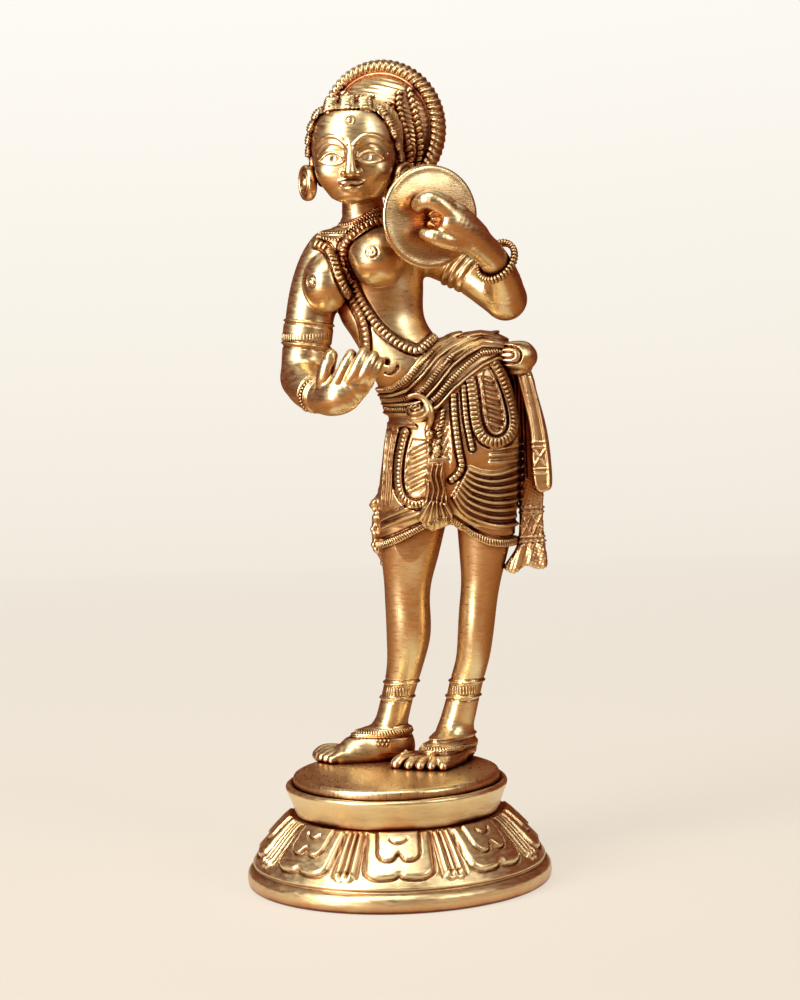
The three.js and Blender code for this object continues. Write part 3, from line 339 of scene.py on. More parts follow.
def loft(sections):
    """A body whose level cuts are ellipses."""
    rows = np.array(sections, float)
    at = spline_through(rows[:, 0], rows[:, 1:])
    low, high = rows[0, 0], rows[-1, 0]

    def field(points):
        cx, cy, rx, ry = at(points[:, 2]).T
        u, v = points[:, 0] - cx, points[:, 1] - cy
        reach = np.hypot(u, v)
        slope = np.hypot(u / rx, v / ry)
        safe = np.maximum(slope, 1e-6)
        side = np.where(slope > 1e-3, (slope - 1) * reach / safe, -np.minimum(rx, ry))
        return np.maximum(side, np.maximum(low - points[:, 2], points[:, 2] - high))

    return field


def egg(centre, radii, turn=None):
    """An egg shape, turned by a matrix if one is given."""
    centre, radii = np.asarray(centre, float), np.asarray(radii, float)

    def field(points):
        local = points - centre
        if turn is not None:
            local = local @ turn
        near = np.linalg.norm(local / radii, axis=1)
        steep = np.linalg.norm(local / radii**2, axis=1)
        return np.where(near > 1e-6, near * (near - 1) / np.maximum(steep, 1e-9), -radii.min())

    return field


def limb(path, steps=4):
    """A round limb along a smooth path of centres and radii."""
    rows = smooth_line(path, steps)

    def field(points):
        nearest = np.full(len(points), 1e3)
        for a, b in zip(rows[:-1], rows[1:]):
            run = b[:3] - a[:3]
            share = np.clip((points - a[:3]) @ run / (run @ run), 0, 1)
            away = np.linalg.norm(points - a[:3] - share[:, None] * run, axis=1)
            np.minimum(nearest, away - a[3] - share * (b[3] - a[3]), out=nearest)
        return nearest

    return field


def slab(outline, front, back, rounding=0.6, bulge=None):
    """A flat piece with rounded edges: an outline of the front view between two depths."""
    outline = smooth_line(np.vstack([outline, outline[:1]]), 4)[:-1]

    def field(points):
        aside = -depth_in(points[:, [0, 2]], outline) + rounding
        middle = (front + back) / 2 + (0 if bulge is None else bulge(points))
        deep = np.abs(points[:, 1] - middle) - (back - front) / 2 + rounding
        outside = np.hypot(np.maximum(aside, 0), np.maximum(deep, 0))
        return np.minimum(np.maximum(aside, deep), 0) + outside - rounding

    return field


def joined(first, *others, softness=1.0):
    """Shapes run together with soft joins."""

    def field(points):
        total = first(points)
        for other in others:
            away = other(points)
            share = np.clip(0.5 + 0.5 * (away - total) / softness, 0, 1)
            total = away + (total - away) * share - softness * share * (1 - share)
        return total

    return field


def carved(first, *cutters, softness=0.5):
    """A shape with others taken out of it."""

    def field(points):
        total = -first(points)
        for cutter in cutters:
            away = cutter(points)
            share = np.clip(0.5 + 0.5 * (away - total) / softness, 0, 1)
            total = away + (total - away) * share - softness * share * (1 - share)
        return -total

    return field


def raised(first, height):
    """A shape whose surface stands out by a height that changes from point to point."""
    return lambda points: first(points) - height(points)


def limited(first, *limits):
    """A shape cut off where any limit is above 0."""

    def field(points):
        total = first(points)
        for limit in limits:
            total = np.maximum(total, limit(points))
        return total

    return field


def front_map(low, high, height, step=0.1):
    """A relief worked out once over the front view and read back smoothly."""
    xs = np.arange(low[0], high[0] + step, step)
    zs = np.arange(low[1], high[1] + step, step)
    flat = np.stack(np.meshgrid(xs, zs, indexing="ij"), -1).reshape(-1, 2)
    heights = height(flat).reshape(len(xs), len(zs))

    def at(x, z):
        i = np.clip((x - low[0]) / step, 0, len(xs) - 1.001)
        k = np.clip((z - low[1]) / step, 0, len(zs) - 1.001)
        left, under = i.astype(int), k.astype(int)
        i, k = i - left, k - under
        lower = heights[left, under] * (1 - i) + heights[left + 1, under] * i
        upper = heights[left, under + 1] * (1 - i) + heights[left + 1, under + 1] * i
        return lower * (1 - k) + upper * k

    return at


def grid_of(field, low, high, grain):
    """The field on a grid of small cubes, worked out finely only near the surface."""
    low, high = np.asarray(low, float), np.asarray(high, float)
    blocks = np.ceil((high - low) / (grain * BLOCK)).astype(int)
    side = grain * BLOCK
    axes = [low[a] + side * (np.arange(blocks[a]) + 0.5) for a in range(3)]
    centres = np.stack(np.meshgrid(*axes, indexing="ij"), -1).reshape(-1, 3)
    values = np.empty((len(centres), BLOCK**3), np.float32)
    coarse = field(centres)
    values[:] = coarse[:, None]
    inner = (np.stack(np.meshgrid(*[np.arange(BLOCK)] * 3, indexing="ij"), -1).reshape(-1, 3) + 0.5) * grain
    near = np.flatnonzero(np.abs(coarse) < side * 1.25 + 1.2)
    for start in range(0, len(near), 2500):
        chosen = near[start : start + 2500]
        points = (centres[chosen][:, None] - side / 2 + inner).reshape(-1, 3)
        values[chosen] = field(points).reshape(len(chosen), -1)
    grid = values.reshape(*blocks, BLOCK, BLOCK, BLOCK).transpose(0, 3, 1, 4, 2, 5)
    return np.ascontiguousarray(grid.reshape(blocks * BLOCK)), low + grain / 2


def slope_of(field, points, reach=0.06):
    """The outward slope of a field at points."""
    slopes = np.empty_like(points)
    for axis in range(3):
        shift = np.zeros(3)
        shift[axis] = reach
        slopes[:, axis] = (field(points + shift) - field(points - shift)) / (2 * reach)
    return slopes


def settle(field, points, times=3, most=0.5):
    """Points moved onto the surface along its slope."""
    for _ in range(times):
        slope = slope_of(field, points)
        move = field(points) / np.maximum((slope**2).sum(1), 1e-6)
        points = points - np.clip(move, -most, most)[:, None] * slope
    return points


def mesh_object(name, points, faces, lift=0.0):
    """A new smooth mesh object at the origin, from millimetres, with its place in its mesh."""
    points = (np.asarray(points, float) + (0, 0, lift)) * MM
    mesh = bpy.data.meshes.new(name)
    if isinstance(faces, np.ndarray):
        count, corners = faces.shape
        mesh.vertices.add(len(points))
        mesh.vertices.foreach_set("co", points.astype(np.float32).ravel())
        mesh.loops.add(count * corners)
        mesh.loops.foreach_set("vertex_index", faces.astype(np.int32).ravel())
        mesh.polygons.add(count)
        mesh.polygons.foreach_set("loop_start", np.arange(0, count * corners, corners, dtype=np.int32))
        mesh.update(calc_edges=True)
    else:
        mesh.from_pydata([tuple(p) for p in points], [], [tuple(f) for f in faces])
    mesh.validate()
    mesh.polygons.foreach_set("use_smooth", np.ones(len(mesh.polygons), bool))
    made = bpy.data.objects.new(name, mesh)
    bpy.context.scene.collection.objects.link(made)
    return made


def sculpt(name, field, low, high, grain, lift=None):
    """A closed mesh of a field's surface inside a box."""
    grid, start = grid_of(field, low, high, grain)
    volume = openvdb.FloatGrid(3.0)
    volume.copyFromArray(grid)
    points, faces = volume.convertToQuads(isovalue=0.0)
    if not len(faces):
        raise RuntimeError(name + " came out empty")
    points = settle(field, points * grain + start, 1, grain * 0.6)
    return mesh_object(name, points, np.asarray(faces), SOLE_LEVEL if lift is None else lift)


def turned(name, profile, centre, axis, segments, relief=None, step=0.4, lift=0.0):
    """A turned piece: radius and height of its profile from one pole to the other, along an axis."""
    line = even_line(profile, step)
    line[1:-1] = (line[:-2] + 2 * line[1:-1] + line[2:]) / 4
    tangent = np.gradient(line, axis=0)
    outward = np.stack([tangent[:, 1], -tangent[:, 0]], 1)
    outward /= np.linalg.norm(outward, axis=1)[:, None]
    angles = np.linspace(0, 2 * np.pi, segments, endpoint=False)
    radius, angle = np.meshgrid(line[1:-1, 0], angles, indexing="ij")
    height = np.repeat(line[1:-1, 1:], segments, 1)
    proud = np.zeros_like(radius) if relief is None else relief(radius, height, angle)
    radius = radius + proud * outward[1:-1, :1]
    height = height + proud * outward[1:-1, 1:]
    rings = np.stack([radius * np.cos(angle), radius * np.sin(angle), height], -1).reshape(-1, 3)
    points = np.vstack([rings, [(0, 0, line[0, 1]), (0, 0, line[-1, 1])]])
    count = len(line) - 2
    faces = []
    for r in range(count - 1):
        for s in range(segments):
            a, b = r * segments + s, r * segments + (s + 1) % segments
            faces.append((a, b, b + segments, a + segments))
    under, over = len(rings), len(rings) + 1
    for s in range(segments):
        t = (s + 1) % segments
        faces.append((under, t, s))
        faces.append((over, (count - 1) * segments + s, (count - 1) * segments + t))
    turn = np.array(Vector(axis).to_track_quat("Z", "Y").to_matrix())
    return mesh_object(name, points @ turn.T + centre, faces, lift)


def finish_piece(made, material, *nodes):
    """Gives a finished piece its brass and its place on the casting."""
    made.data.materials.clear()
    made.data.materials.append(material)
    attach(made, "root")
    if nodes:
        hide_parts(*nodes)
    return made


# Lines laid on a sculpted surface


def cast(field, starts, ways):
    """Where rays from outside first meet a surface."""
    travelled = np.zeros(len(starts))
    for _ in range(110):
        travelled = travelled + 0.7 * field(starts + ways * travelled[:, None])
    return starts + ways * travelled[:, None]


def framed(field, points, pitch, closed=False):
    """Even points of a line on a surface, with the way along it and the way it faces."""
    points = settle(field, even_line(points, pitch), 2)
    if closed:
        points = points[:-1]
        along = np.roll(points, -1, axis=0) - np.roll(points, 1, axis=0)
    else:
        along = np.gradient(points, axis=0)
    facing = slope_of(field, points)
    along /= np.linalg.norm(along, axis=1)[:, None]
    facing /= np.linalg.norm(facing, axis=1)[:, None]
    return np.hstack([points, along, facing])


def line_on(field, line, pitch):
    """Frames of a front-view line laid on a surface."""
    flat = smooth_line(line, 8)
    starts = np.stack([flat[:, 0], np.full(len(flat), -60.0), flat[:, 1]], 1)
    found = cast(field, starts, np.tile((0.0, 1.0, 0.0), (len(flat), 1)))
    kept = np.abs(field(found)) < 0.2
    return framed(field, found[kept], pitch)


def loop_on(field, centre, level, pitch, reach=40.0, span=(0.0, 360.0)):
    """Frames of a loop round an upright shape, at a height that may change from place to place."""
    angles = np.radians(np.linspace(*span, 181))
    ways = np.stack([np.cos(angles), np.sin(angles), np.zeros_like(angles)], 1)
    height = np.full(len(angles), level(centre[0], centre[1]))
    for _ in range(4):
        starts = np.stack([centre[0] + reach * ways[:, 0], centre[1] + reach * ways[:, 1], height], 1)
        found = cast(field, starts, -ways)
        height = np.array([level(x, y) for x, y, _ in found])
    found[:, 2] = height
    met = np.abs(field(found)) < 0.3
    if met.all():
        return framed(field, found, pitch, closed=span[1] - span[0] >= 359.9)
    first = int(np.argmin(met))
    order = np.roll(np.arange(len(found)), -first)
    return framed(field, found[order][met[order]], pitch)


# Geometry Nodes trees


def socket_named(tree, name, kind, default=None, description=""):
    """A named input of a tree."""
    made = tree.interface.new_socket(name, in_out="INPUT", socket_type=kind, description=description)
    if default is not None:
        made.default_value = default
    return made


def new_tree(name):
    """An empty geometry tree with its geometry sockets."""
    tree = bpy.data.node_groups.new(name, "GeometryNodeTree")
    tree.interface.new_socket("Geometry", in_out="OUTPUT", socket_type="NodeSocketGeometry")
    tree.interface.new_socket("Geometry", in_out="INPUT", socket_type="NodeSocketGeometry")
    return tree


def node_of(tree, kind, links=(), **values):
    """A new node with its plain values set and its inputs linked."""
    node = tree.nodes.new(kind)
    for name, value in values.items():
        setattr(node, name, value)
    for socket, source in dict(links).items():
        if isinstance(source, bpy.types.NodeSocket):
            tree.links.new(source, node.inputs[socket])
        else:
            node.inputs[socket].default_value = source
    return node


def close_tree(tree, geometry, given):
    """Ends a tree in real geometry, smooth faces and a material."""
    real = node_of(tree, "GeometryNodeRealizeInstances", {"Geometry": geometry})
    welded = node_of(tree, "GeometryNodeMergeByDistance", {"Geometry": real.outputs[0], "Distance": 0.004 * MM})
    smooth = node_of(tree, "GeometryNodeSetShadeSmooth", {"Geometry": welded.outputs[0]})
    dressed = node_of(
        tree, "GeometryNodeSetMaterial", {"Geometry": smooth.outputs[0], "Material": given.outputs["Material"]},
    )
    node_of(tree, "NodeGroupOutput", {"Geometry": dressed.outputs[0]})


def rib_tree():
    """Rounded ribs or beads set on points, each lying along its line and facing out of the surface."""
    tree = new_tree("laid_on_ribs")
    for name, default, text in (
        ("Length", 1.1 * MM, "Of a rib along its line"),
        ("Width", 2.0 * MM, "Of a rib across its line"),
        ("Height", 0.9 * MM, "Of a rib out of the surface"),
        ("Lean", 0.0, "Turn of a rib on the surface, in radians"),
    ):
        socket_named(tree, name, "NodeSocketFloat", default, text)
    socket_named(tree, "Material", "NodeSocketMaterial", None, "Brass of the ribs")
    given = node_of(tree, "NodeGroupInput")
    size = node_of(
        tree, "ShaderNodeCombineXYZ",
        {"X": given.outputs["Length"], "Y": given.outputs["Width"], "Z": given.outputs["Height"]},
    )
    block = node_of(tree, "GeometryNodeMeshCube", {"Size": size.outputs[0]})
    pillow = node_of(
        tree, "GeometryNodeSubdivisionSurface", {"Mesh": block.outputs[0], "Level": 1, "Edge Crease": 0.25},
    )
    points = node_of(tree, "GeometryNodeMeshToPoints", {"Mesh": given.outputs["Geometry"]})
    facing = node_of(tree, "GeometryNodeInputNamedAttribute", {"Name": "facing"}, data_type="FLOAT_VECTOR")
    along = node_of(tree, "GeometryNodeInputNamedAttribute", {"Name": "along"}, data_type="FLOAT_VECTOR")
    scale = node_of(tree, "GeometryNodeInputNamedAttribute", {"Name": "size"}, data_type="FLOAT_VECTOR")
    outward = node_of(
        tree, "FunctionNodeAlignRotationToVector", {"Vector": facing.outputs["Attribute"]}, axis="Z",
    )
    lying = node_of(
        tree, "FunctionNodeAlignRotationToVector",
        {"Rotation": outward.outputs[0], "Vector": along.outputs["Attribute"]}, axis="X", pivot_axis="Z",
    )
    twist = node_of(tree, "FunctionNodeAxisAngleToRotation", {"Axis": (0, 0, 1), "Angle": given.outputs["Lean"]})
    leant = node_of(
        tree, "FunctionNodeRotateRotation", {"Rotation": lying.outputs[0], "Rotate By": twist.outputs[0]},
        rotation_space="LOCAL",
    )
    ribs = node_of(
        tree, "GeometryNodeInstanceOnPoints",
        {
            "Points": points.outputs[0], "Instance": pillow.outputs[0], "Rotation": leant.outputs[0],
            "Scale": scale.outputs["Attribute"],
        },
    )
    close_tree(tree, ribs.outputs[0], given)
    return tree


def round_tree():
    """Copies a sector round the upright axis and welds the copies into one ring."""
    tree = new_tree("repeated_round")
    socket_named(tree, "Count", "NodeSocketInt", 8, "Copies round the axis")
    socket_named(tree, "Material", "NodeSocketMaterial", None, "Brass of the ring")
    given = node_of(tree, "NodeGroupInput")
    points = node_of(tree, "GeometryNodePoints", {"Count": given.outputs["Count"]})
    index = node_of(tree, "GeometryNodeInputIndex")
    share = node_of(
        tree, "ShaderNodeMath", {0: index.outputs[0], 1: given.outputs["Count"]}, operation="DIVIDE",
    )
    angle = node_of(tree, "ShaderNodeMath", {0: share.outputs[0], 1: 2 * math.pi}, operation="MULTIPLY")
    turn = node_of(tree, "FunctionNodeAxisAngleToRotation", {"Axis": (0, 0, 1), "Angle": angle.outputs[0]})
    ring = node_of(
        tree, "GeometryNodeInstanceOnPoints",
        {"Points": points.outputs[0], "Instance": given.outputs["Geometry"], "Rotation": turn.outputs[0]},
    )
    close_tree(tree, ring.outputs[0], given)
    return tree


def grown_by(tree, made, **values):
    """Runs a tree on an object and keeps the result as its plain mesh."""
    modifier = made.modifiers.new(tree.name, "NODES")
    modifier.node_group = tree
    for item in tree.interface.items_tree:
        if item.item_type == "SOCKET" and item.in_out == "INPUT" and item.name in values:
            modifier[item.identifier] = values[item.name]
    graph = bpy.context.evaluated_depsgraph_get()
    plain = bpy.data.meshes.new_from_object(made.evaluated_get(graph))
    made.modifiers.remove(modifier)
    bare = made.data
    made.data = plain
    bpy.data.meshes.remove(bare)
    plain.name = made.name
    return made


def ribs_on(name, frames, material, length, width, height, lean=0.0, sizes=None, lift=None):
    """One piece of ribs or beads that stand on the given frames."""
    rows = np.vstack(frames) if isinstance(frames, list) else frames
    mesh = bpy.data.meshes.new(name)
    mesh.vertices.add(len(rows))
    raise_by = SOLE_LEVEL if lift is None else lift
    mesh.vertices.foreach_set("co", ((rows[:, :3] + (0, 0, raise_by)) * MM).astype(np.float32).ravel())
    scale = np.ones((len(rows), 3)) if sizes is None else sizes
    for label, values in (("along", rows[:, 3:6]), ("facing", rows[:, 6:9]), ("size", scale)):
        attribute = mesh.attributes.new(label, "FLOAT_VECTOR", "POINT")
        attribute.data.foreach_set("vector", values.astype(np.float32).ravel())
    made = bpy.data.objects.new(name, mesh)
    bpy.context.scene.collection.objects.link(made)
    tree = bpy.data.node_groups.get("laid_on_ribs") or rib_tree()
    return grown_by(
        tree, made, Length=length * MM, Width=width * MM, Height=height * MM, Lean=float(lean), Material=material,
    )


# Brass


def ramp_of(tree, source, low, high):
    """A linear step from 0 at low to 1 at high."""
    node = node_of(tree, "ShaderNodeMapRange", {"Value": source, "From Min": low, "From Max": high})
    node.clamp = True
    return node.outputs["Result"]


# Brushing of each kind of surface: stretch and turn of the brush marks, depth of bump and added roughness
FINISHES = {
    "pedestal_brass": ((1, 1, 4), (0.0, 0.0, 0.0), 0.32, 0.08),
    "plate_brass": ((5, 1, 1), (0.0, 0.0, 0.3), 0.26, 0.05),
    "limb_brass": ((1, 1, 5), (0.0, 0.6, 0.3), 0.12, 0.05),
    "ornament_brass": ((1, 1, 3), (0.0, 0.0, 0.0), 0.24, 0.05),
    "mirror_brass": ((1, 1, 14), (0.0, -0.8, 0.0), 0.08, 0.0),
    "face_brass": ((1, 1, 4), (0.0, 0.5, 0.0), 0.12, 0.05),
    "hair_brass": ((1, 1, 7), (0.0, -0.4, 0.0), 0.24, 0.04),
}


def brass_material(name):
    """Rubbed brass with dark patina in the hollows, brush marks across it and faint dents, under a painted shade: a
    redder brass wherever a wider reach of occlusion shuts out light, broken into random patches.
    """
    if name in bpy.data.materials:
        return bpy.data.materials[name]
    stretch, turn, depth, dull = FINISHES[name]
    settings = bpy.context.scene.apsara_brass
    material = bpy.data.materials.new(name)
    material.use_nodes = True
    tree = material.node_tree
    shader = tree.nodes["Principled BSDF"]
    place = node_of(tree, "ShaderNodeTexCoord").outputs["Object"]
    hollow = node_of(tree, "ShaderNodeAmbientOcclusion", {"Distance": settings.patina_and_shade_reach}, samples=6)
    # Painted shade: occlusion over six times the patina's reach, less random patches of tone, sets how far the brass
    # turns to the redder shaded colour.
    painted_shade_ao = node_of(tree, "ShaderNodeAmbientOcclusion", {"Distance": settings.patina_and_shade_reach * 6}, samples=6)
    blotch = node_of(tree, "ShaderNodeTexNoise", {"Vector": place, "Scale": 260.0, "Detail": 6.0})
    dents = node_of(tree, "ShaderNodeTexNoise", {"Vector": place, "Scale": 105.0, "Detail": 3.0})
    uneven = node_of(tree, "ShaderNodeMath", {0: blotch.outputs["Fac"], 1: 0.36}, operation="MULTIPLY")
    worn = node_of(
        tree, "ShaderNodeMath", {0: hollow.outputs["AO"], 1: uneven.outputs[0]}, operation="SUBTRACT",
    )
    rubbed = ramp_of(tree, worn.outputs[0], 0.3, 0.72)
    patches = node_of(tree, "ShaderNodeMath", {0: dents.outputs["Fac"], 1: 0.45}, operation="MULTIPLY")
    painted_shade_with_patches = node_of(
        tree, "ShaderNodeMath", {0: painted_shade_ao.outputs["AO"], 1: patches.outputs[0]}, operation="SUBTRACT",
    )
    painted_light_share = ramp_of(tree, painted_shade_with_patches.outputs[0], 0.0, 0.8)
    # Mix of painted shade and bright brass: the shaded colour where light would be shut out, the bright colour in the
    # open, varied by random patches.
    painted_shade_mix = node_of(tree, "ShaderNodeMix", data_type="RGBA")
    painted_shade_mix.inputs["A"].default_value = (*settings.painted_shade_colour, 1)
    painted_shade_mix.inputs["B"].default_value = (*settings.bright, 1)
    tree.links.new(painted_light_share, painted_shade_mix.inputs["Factor"])
    colour = node_of(tree, "ShaderNodeMix", data_type="RGBA")
    colour.inputs["A"].default_value = (*settings.dark, 1)
    tree.links.new(painted_shade_mix.outputs["Result"], colour.inputs["B"])
    tree.links.new(rubbed, colour.inputs["Factor"])
    tree.links.new(colour.outputs["Result"], shader.inputs["Base Color"])
    shader.inputs["Metallic"].default_value = 1.0
    stretched = node_of(tree, "ShaderNodeMapping", {"Vector": place, "Rotation": turn, "Scale": stretch})
    hairs = node_of(tree, "ShaderNodeTexNoise", {"Vector": stretched.outputs[0], "Scale": 420.0, "Detail": 5.0})
    gloss = node_of(
        tree, "ShaderNodeMapRange",
        {
            "Value": hairs.outputs["Fac"], "From Min": 0.3, "From Max": 0.7,
            "To Min": settings.roughness + dull - 0.06, "To Max": settings.roughness + dull + 0.09,
        },
    )
    tree.links.new(gloss.outputs["Result"], shader.inputs["Roughness"])
    hammered = node_of(
        tree, "ShaderNodeBump", {"Height": dents.outputs["Fac"], "Strength": depth * 1.6, "Distance": 0.5 * MM},
    )
    brushed = node_of(
        tree, "ShaderNodeBump",
        {
            "Height": hairs.outputs["Fac"], "Strength": depth, "Distance": 0.22 * MM,
            "Normal": hammered.outputs["Normal"],
        },
    )
    tree.links.new(brushed.outputs["Normal"], shader.inputs["Normal"])
    return material


def filed(angle, height, size=0.08):
    """Small unevenness of hand filing round a turned piece."""
    wave = np.sin(3 * angle + 0.8) + 0.6 * np.sin(7 * angle + 2.1 + 0.2 * height)
    return size * (wave + 0.4 * np.sin(13 * angle + 0.5 * height))


# Pedestal


def petal_relief(side, up):
    """Height of one lotus petal over its wall: across from its middle line, and up from its lower edge."""
    points = np.stack([side, up], 1)
    outer = smooth_line([
        (-8.4, 18.5), (-8.7, 12), (-9.2, 6), (-8.6, 3.8), (-6.4, 2.6), (-3, 2.6), (-1, 3), (0, 3.7),
        (1, 3), (3, 2.6), (6.4, 2.6), (8.6, 3.8), (9.2, 6), (8.7, 12), (8.4, 18.5),
    ])
    inner = smooth_line([
        (-5.2, 18.5), (-5.4, 12), (-5.3, 9.4), (-4.2, 8), (-2.6, 7.6), (-1.2, 8.3), (0, 9.8),
        (1.2, 8.3), (2.6, 7.6), (4.2, 8), (5.3, 9.4), (5.4, 12), (5.2, 18.5),
    ])
    smile = smooth_line([(-2.1, 13.8), (-1.1, 12.9), (0, 12.6), (1.1, 12.9), (2.1, 13.8)])
    height = 0.7 * rise(depth_in(points, outer), 1.4) + 0.55 * rise(depth_in(points, inner), 0.5)
    height -= 0.75 * mound(away_from(points, outer)[0], 0.55)
    height -= 0.7 * mound(away_from(points, inner)[0], 0.5)
    height -= 0.7 * mound(away_from(points, smile)[0], 0.5)
    return height


def strip_relief(share, up):
    """Height of the narrow upright strips between two petals, by their share of the half sector."""
    height = 0.6 * mound(np.abs(share - 0.86), 0.09) + 0.5 * mound(np.abs(share - 1.0), 0.07)
    height -= 0.75 * mound(np.abs(share - 0.77), 0.04) + 0.7 * mound(np.abs(share - 0.935), 0.035)
    height -= 0.4 * mound(np.abs(share - 0.71), 0.03) * rise(up - 6, 3)
    leaf = np.hypot((share - 0.93) / 0.12, (up - 3) / 1.8)
    return height * rise(up - 2.2, 1.5) + 0.5 * rise(1 - leaf, 0.5)


class APSARA_OT_pedestal(bpy.types.Operator):
    """Turns the drum and plate and chases the lotus petals"""

    bl_idname = "apsara.pedestal"
    bl_label = "Pedestal"

    def execute(self, context):
        brass = brass_material("pedestal_brass")
        self.lotus(context.scene.apsara_sculpt.petals, brass)
        self.drum(brass)
        self.plate(brass_material("plate_brass"))
        return {"FINISHED"}

    def lotus(self, petals, brass):
        """One petal and half a strip on each side of it, repeated round the axis."""
        wall = [(38.9, 6.3), (37.1, 9.1), (34.6, 11.8), (32.2, 14.4), (29.6, 17), (27.6, 18.6)]
        foot = [(0, 0), (39.2, 0), (40.1, 0.6), (40.4, 2.2), (40.2, 3.9), (39.5, 4.8), (38.3, 5.5)]
        line = even_line([*foot, *wall, (26.6, 18.9), (0, 18.9)], 0.3)
        line[1:-1] = (line[:-2] + 2 * line[1:-1] + line[2:]) / 4
        tangent = np.gradient(line, axis=0)
        outward = np.stack([tangent[:, 1], -tangent[:, 0]], 1)
        outward /= np.linalg.norm(outward, axis=1)[:, None]
        run = np.concatenate([[0], np.cumsum(np.linalg.norm(np.diff(line, axis=0), axis=1))])
        wall_start = run[np.argmin(np.hypot(line[:, 0] - 38.9, line[:, 1] - 6.3))]
        wall_end = run[np.argmin(np.hypot(line[:, 0] - 27.6, line[:, 1] - 18.6))]
        shares = np.linspace(-1, 1, 89)
        half = math.pi / petals
        up, share = np.meshgrid(run - wall_start, shares, indexing="ij")
        radius = np.repeat(line[:, :1], len(shares), 1)
        side = radius * share * half
        height = petal_relief(side.ravel(), up.ravel()).reshape(up.shape) * (np.abs(share) < 0.75)
        height += strip_relief(np.abs(share), up)
        height *= rise(up, 0.8) * rise(wall_end - wall_start - up, 0.8)
        radius = radius + height * outward[:, :1]
        level = line[:, 1:] + height * outward[:, 1:]
        angle = share * half - math.pi / 2
        points = np.stack([radius * np.cos(angle), radius * np.sin(angle), level], -1).reshape(-1, 3)
        rows, columns = up.shape
        first = (np.arange(rows - 1)[:, None] * columns + np.arange(columns - 1)).ravel()
        faces = np.stack([first, first + 1, first + columns + 1, first + columns], 1)
        sector = mesh_object("lotus_pedestal", points, faces)
        ring = grown_by(round_tree(), sector, Count=petals, Material=brass)
        finish_piece(ring, brass, "lotus_base")

    def drum(self, brass):
        """The plain drum that flares up to a lip."""
        low, high = DRUM_FOOT, PLATE_FOOT
        tall = high - low
        profile = [
            (0, low - 0.4), (26.4, low - 0.4), (27, low + 0.2), (27.5, low + tall * 0.3), (28.5, low + tall * 0.65),
            (29.2, high - 1), (29.4, high - 0.3), (29.1, high + 0.25), (28.5, high + 0.5), (27.9, high + 0.35),
            (27.5, high - 0.1), (27, high - 0.2), (0, high - 0.2),
        ]
        drum = turned(
            "pedestal_drum", profile, (0, 0, 0), (0, 0, 1), 200, lambda r, h, a: filed(a, h) * rise(r - 20, 5),
        )
        finish_piece(drum, brass, "base_drum")

    def plate(self, brass):
        """The round plate that the figure stands on."""
        low, high = PLATE_FOOT, SOLE_LEVEL
        profile = [
            (0, low - 0.15), (27.2, low - 0.15), (27.3, low + 0.3), (27.25, high - 0.75), (26.9, high - 0.3),
            (26.2, high), (0, high),
        ]
        plate = turned(
            "pedestal_plate", profile, (0, 0, 0), (0, 0, 1), 200, lambda r, h, a: filed(a, h, 0.06) * rise(r - 20, 5),
        )
        finish_piece(plate, brass, "top_plate")


# Legs and feet


def foot_shape(heel, aim, length, spread):
    """A foot from heel to toes, with toes fanned to a spread."""
    heel, aim = np.asarray(heel, float), np.asarray(aim, float) / np.hypot(*aim)
    across = np.array((-aim[1], aim[0]))

    def at(ahead, side, height, radius):
        x, y = heel + aim * ahead + across * side
        return (x, y, height, radius)

    sole = joined(
        limb([at(0, 0, 2.6, 4), at(length * 0.35, 0, 2.6, 4.4), at(length * 0.62, 0, 1.6, 3.2)]),
        limb([at(length * 0.3, -spread * 0.18, 1.8, 3.2), at(length * 0.66, -spread * 0.3, 1.1, 2.5)]),
        limb([at(length * 0.3, spread * 0.18, 1.8, 3.2), at(length * 0.66, spread * 0.3, 1.1, 2.5)]),
        limb([at(1, 0, 5, 4.7), at(4.5, 0, 5.6, 4.2), at(length * 0.5, 0, 3.4, 3.4)]),
        softness=2.0,
    )
    toes = []
    nails = []
    for share, reach, radius in (
        (-1, 1.0, 1.85), (-0.44, 0.985, 1.5), (0.0, 0.95, 1.45), (0.42, 0.9, 1.4), (0.82, 0.84, 1.35),
    ):
        root = at(length * 0.6, spread * 0.36 * share, 1.7, radius)
        knuckle = at(length * reach - 4.2, spread * 0.46 * share, 2.1, radius)
        tip = at(length * reach - radius, spread * 0.5 * share, 0.9, radius * 0.95)
        toes.append(limb([root, knuckle, tip]))
        nail = at(length * reach - radius + 0.2, spread * 0.5 * share, 1.0 + 0.6 * radius, 0)[:3]
        nails.append(egg(nail, (0.85, 0.85, 0.35)))
    return sole, toes, nails


def leg_with_foot(sections, heel, aim, length, spread, bands):
    """A leg and its foot as one casting, with rings cast on at the ankle."""
    leg = loft(sections)
    sole, toes, nails = foot_shape(heel, aim, length, spread)
    whole = joined(leg, sole, softness=2.4)
    whole = joined(whole, *toes, softness=0.45)
    whole = joined(whole, *nails, softness=0.12)
    return raised(whole, lambda points: ring_relief(points[:, 2], bands))


def ring_relief(level, bands):
    """Height of rings round an upright limb: from, to, height and edge of each."""
    height = np.zeros_like(level)
    for low, high, proud, edge in bands:
        height += proud * rise(level - low, edge) * rise(high - level, edge)
    return height


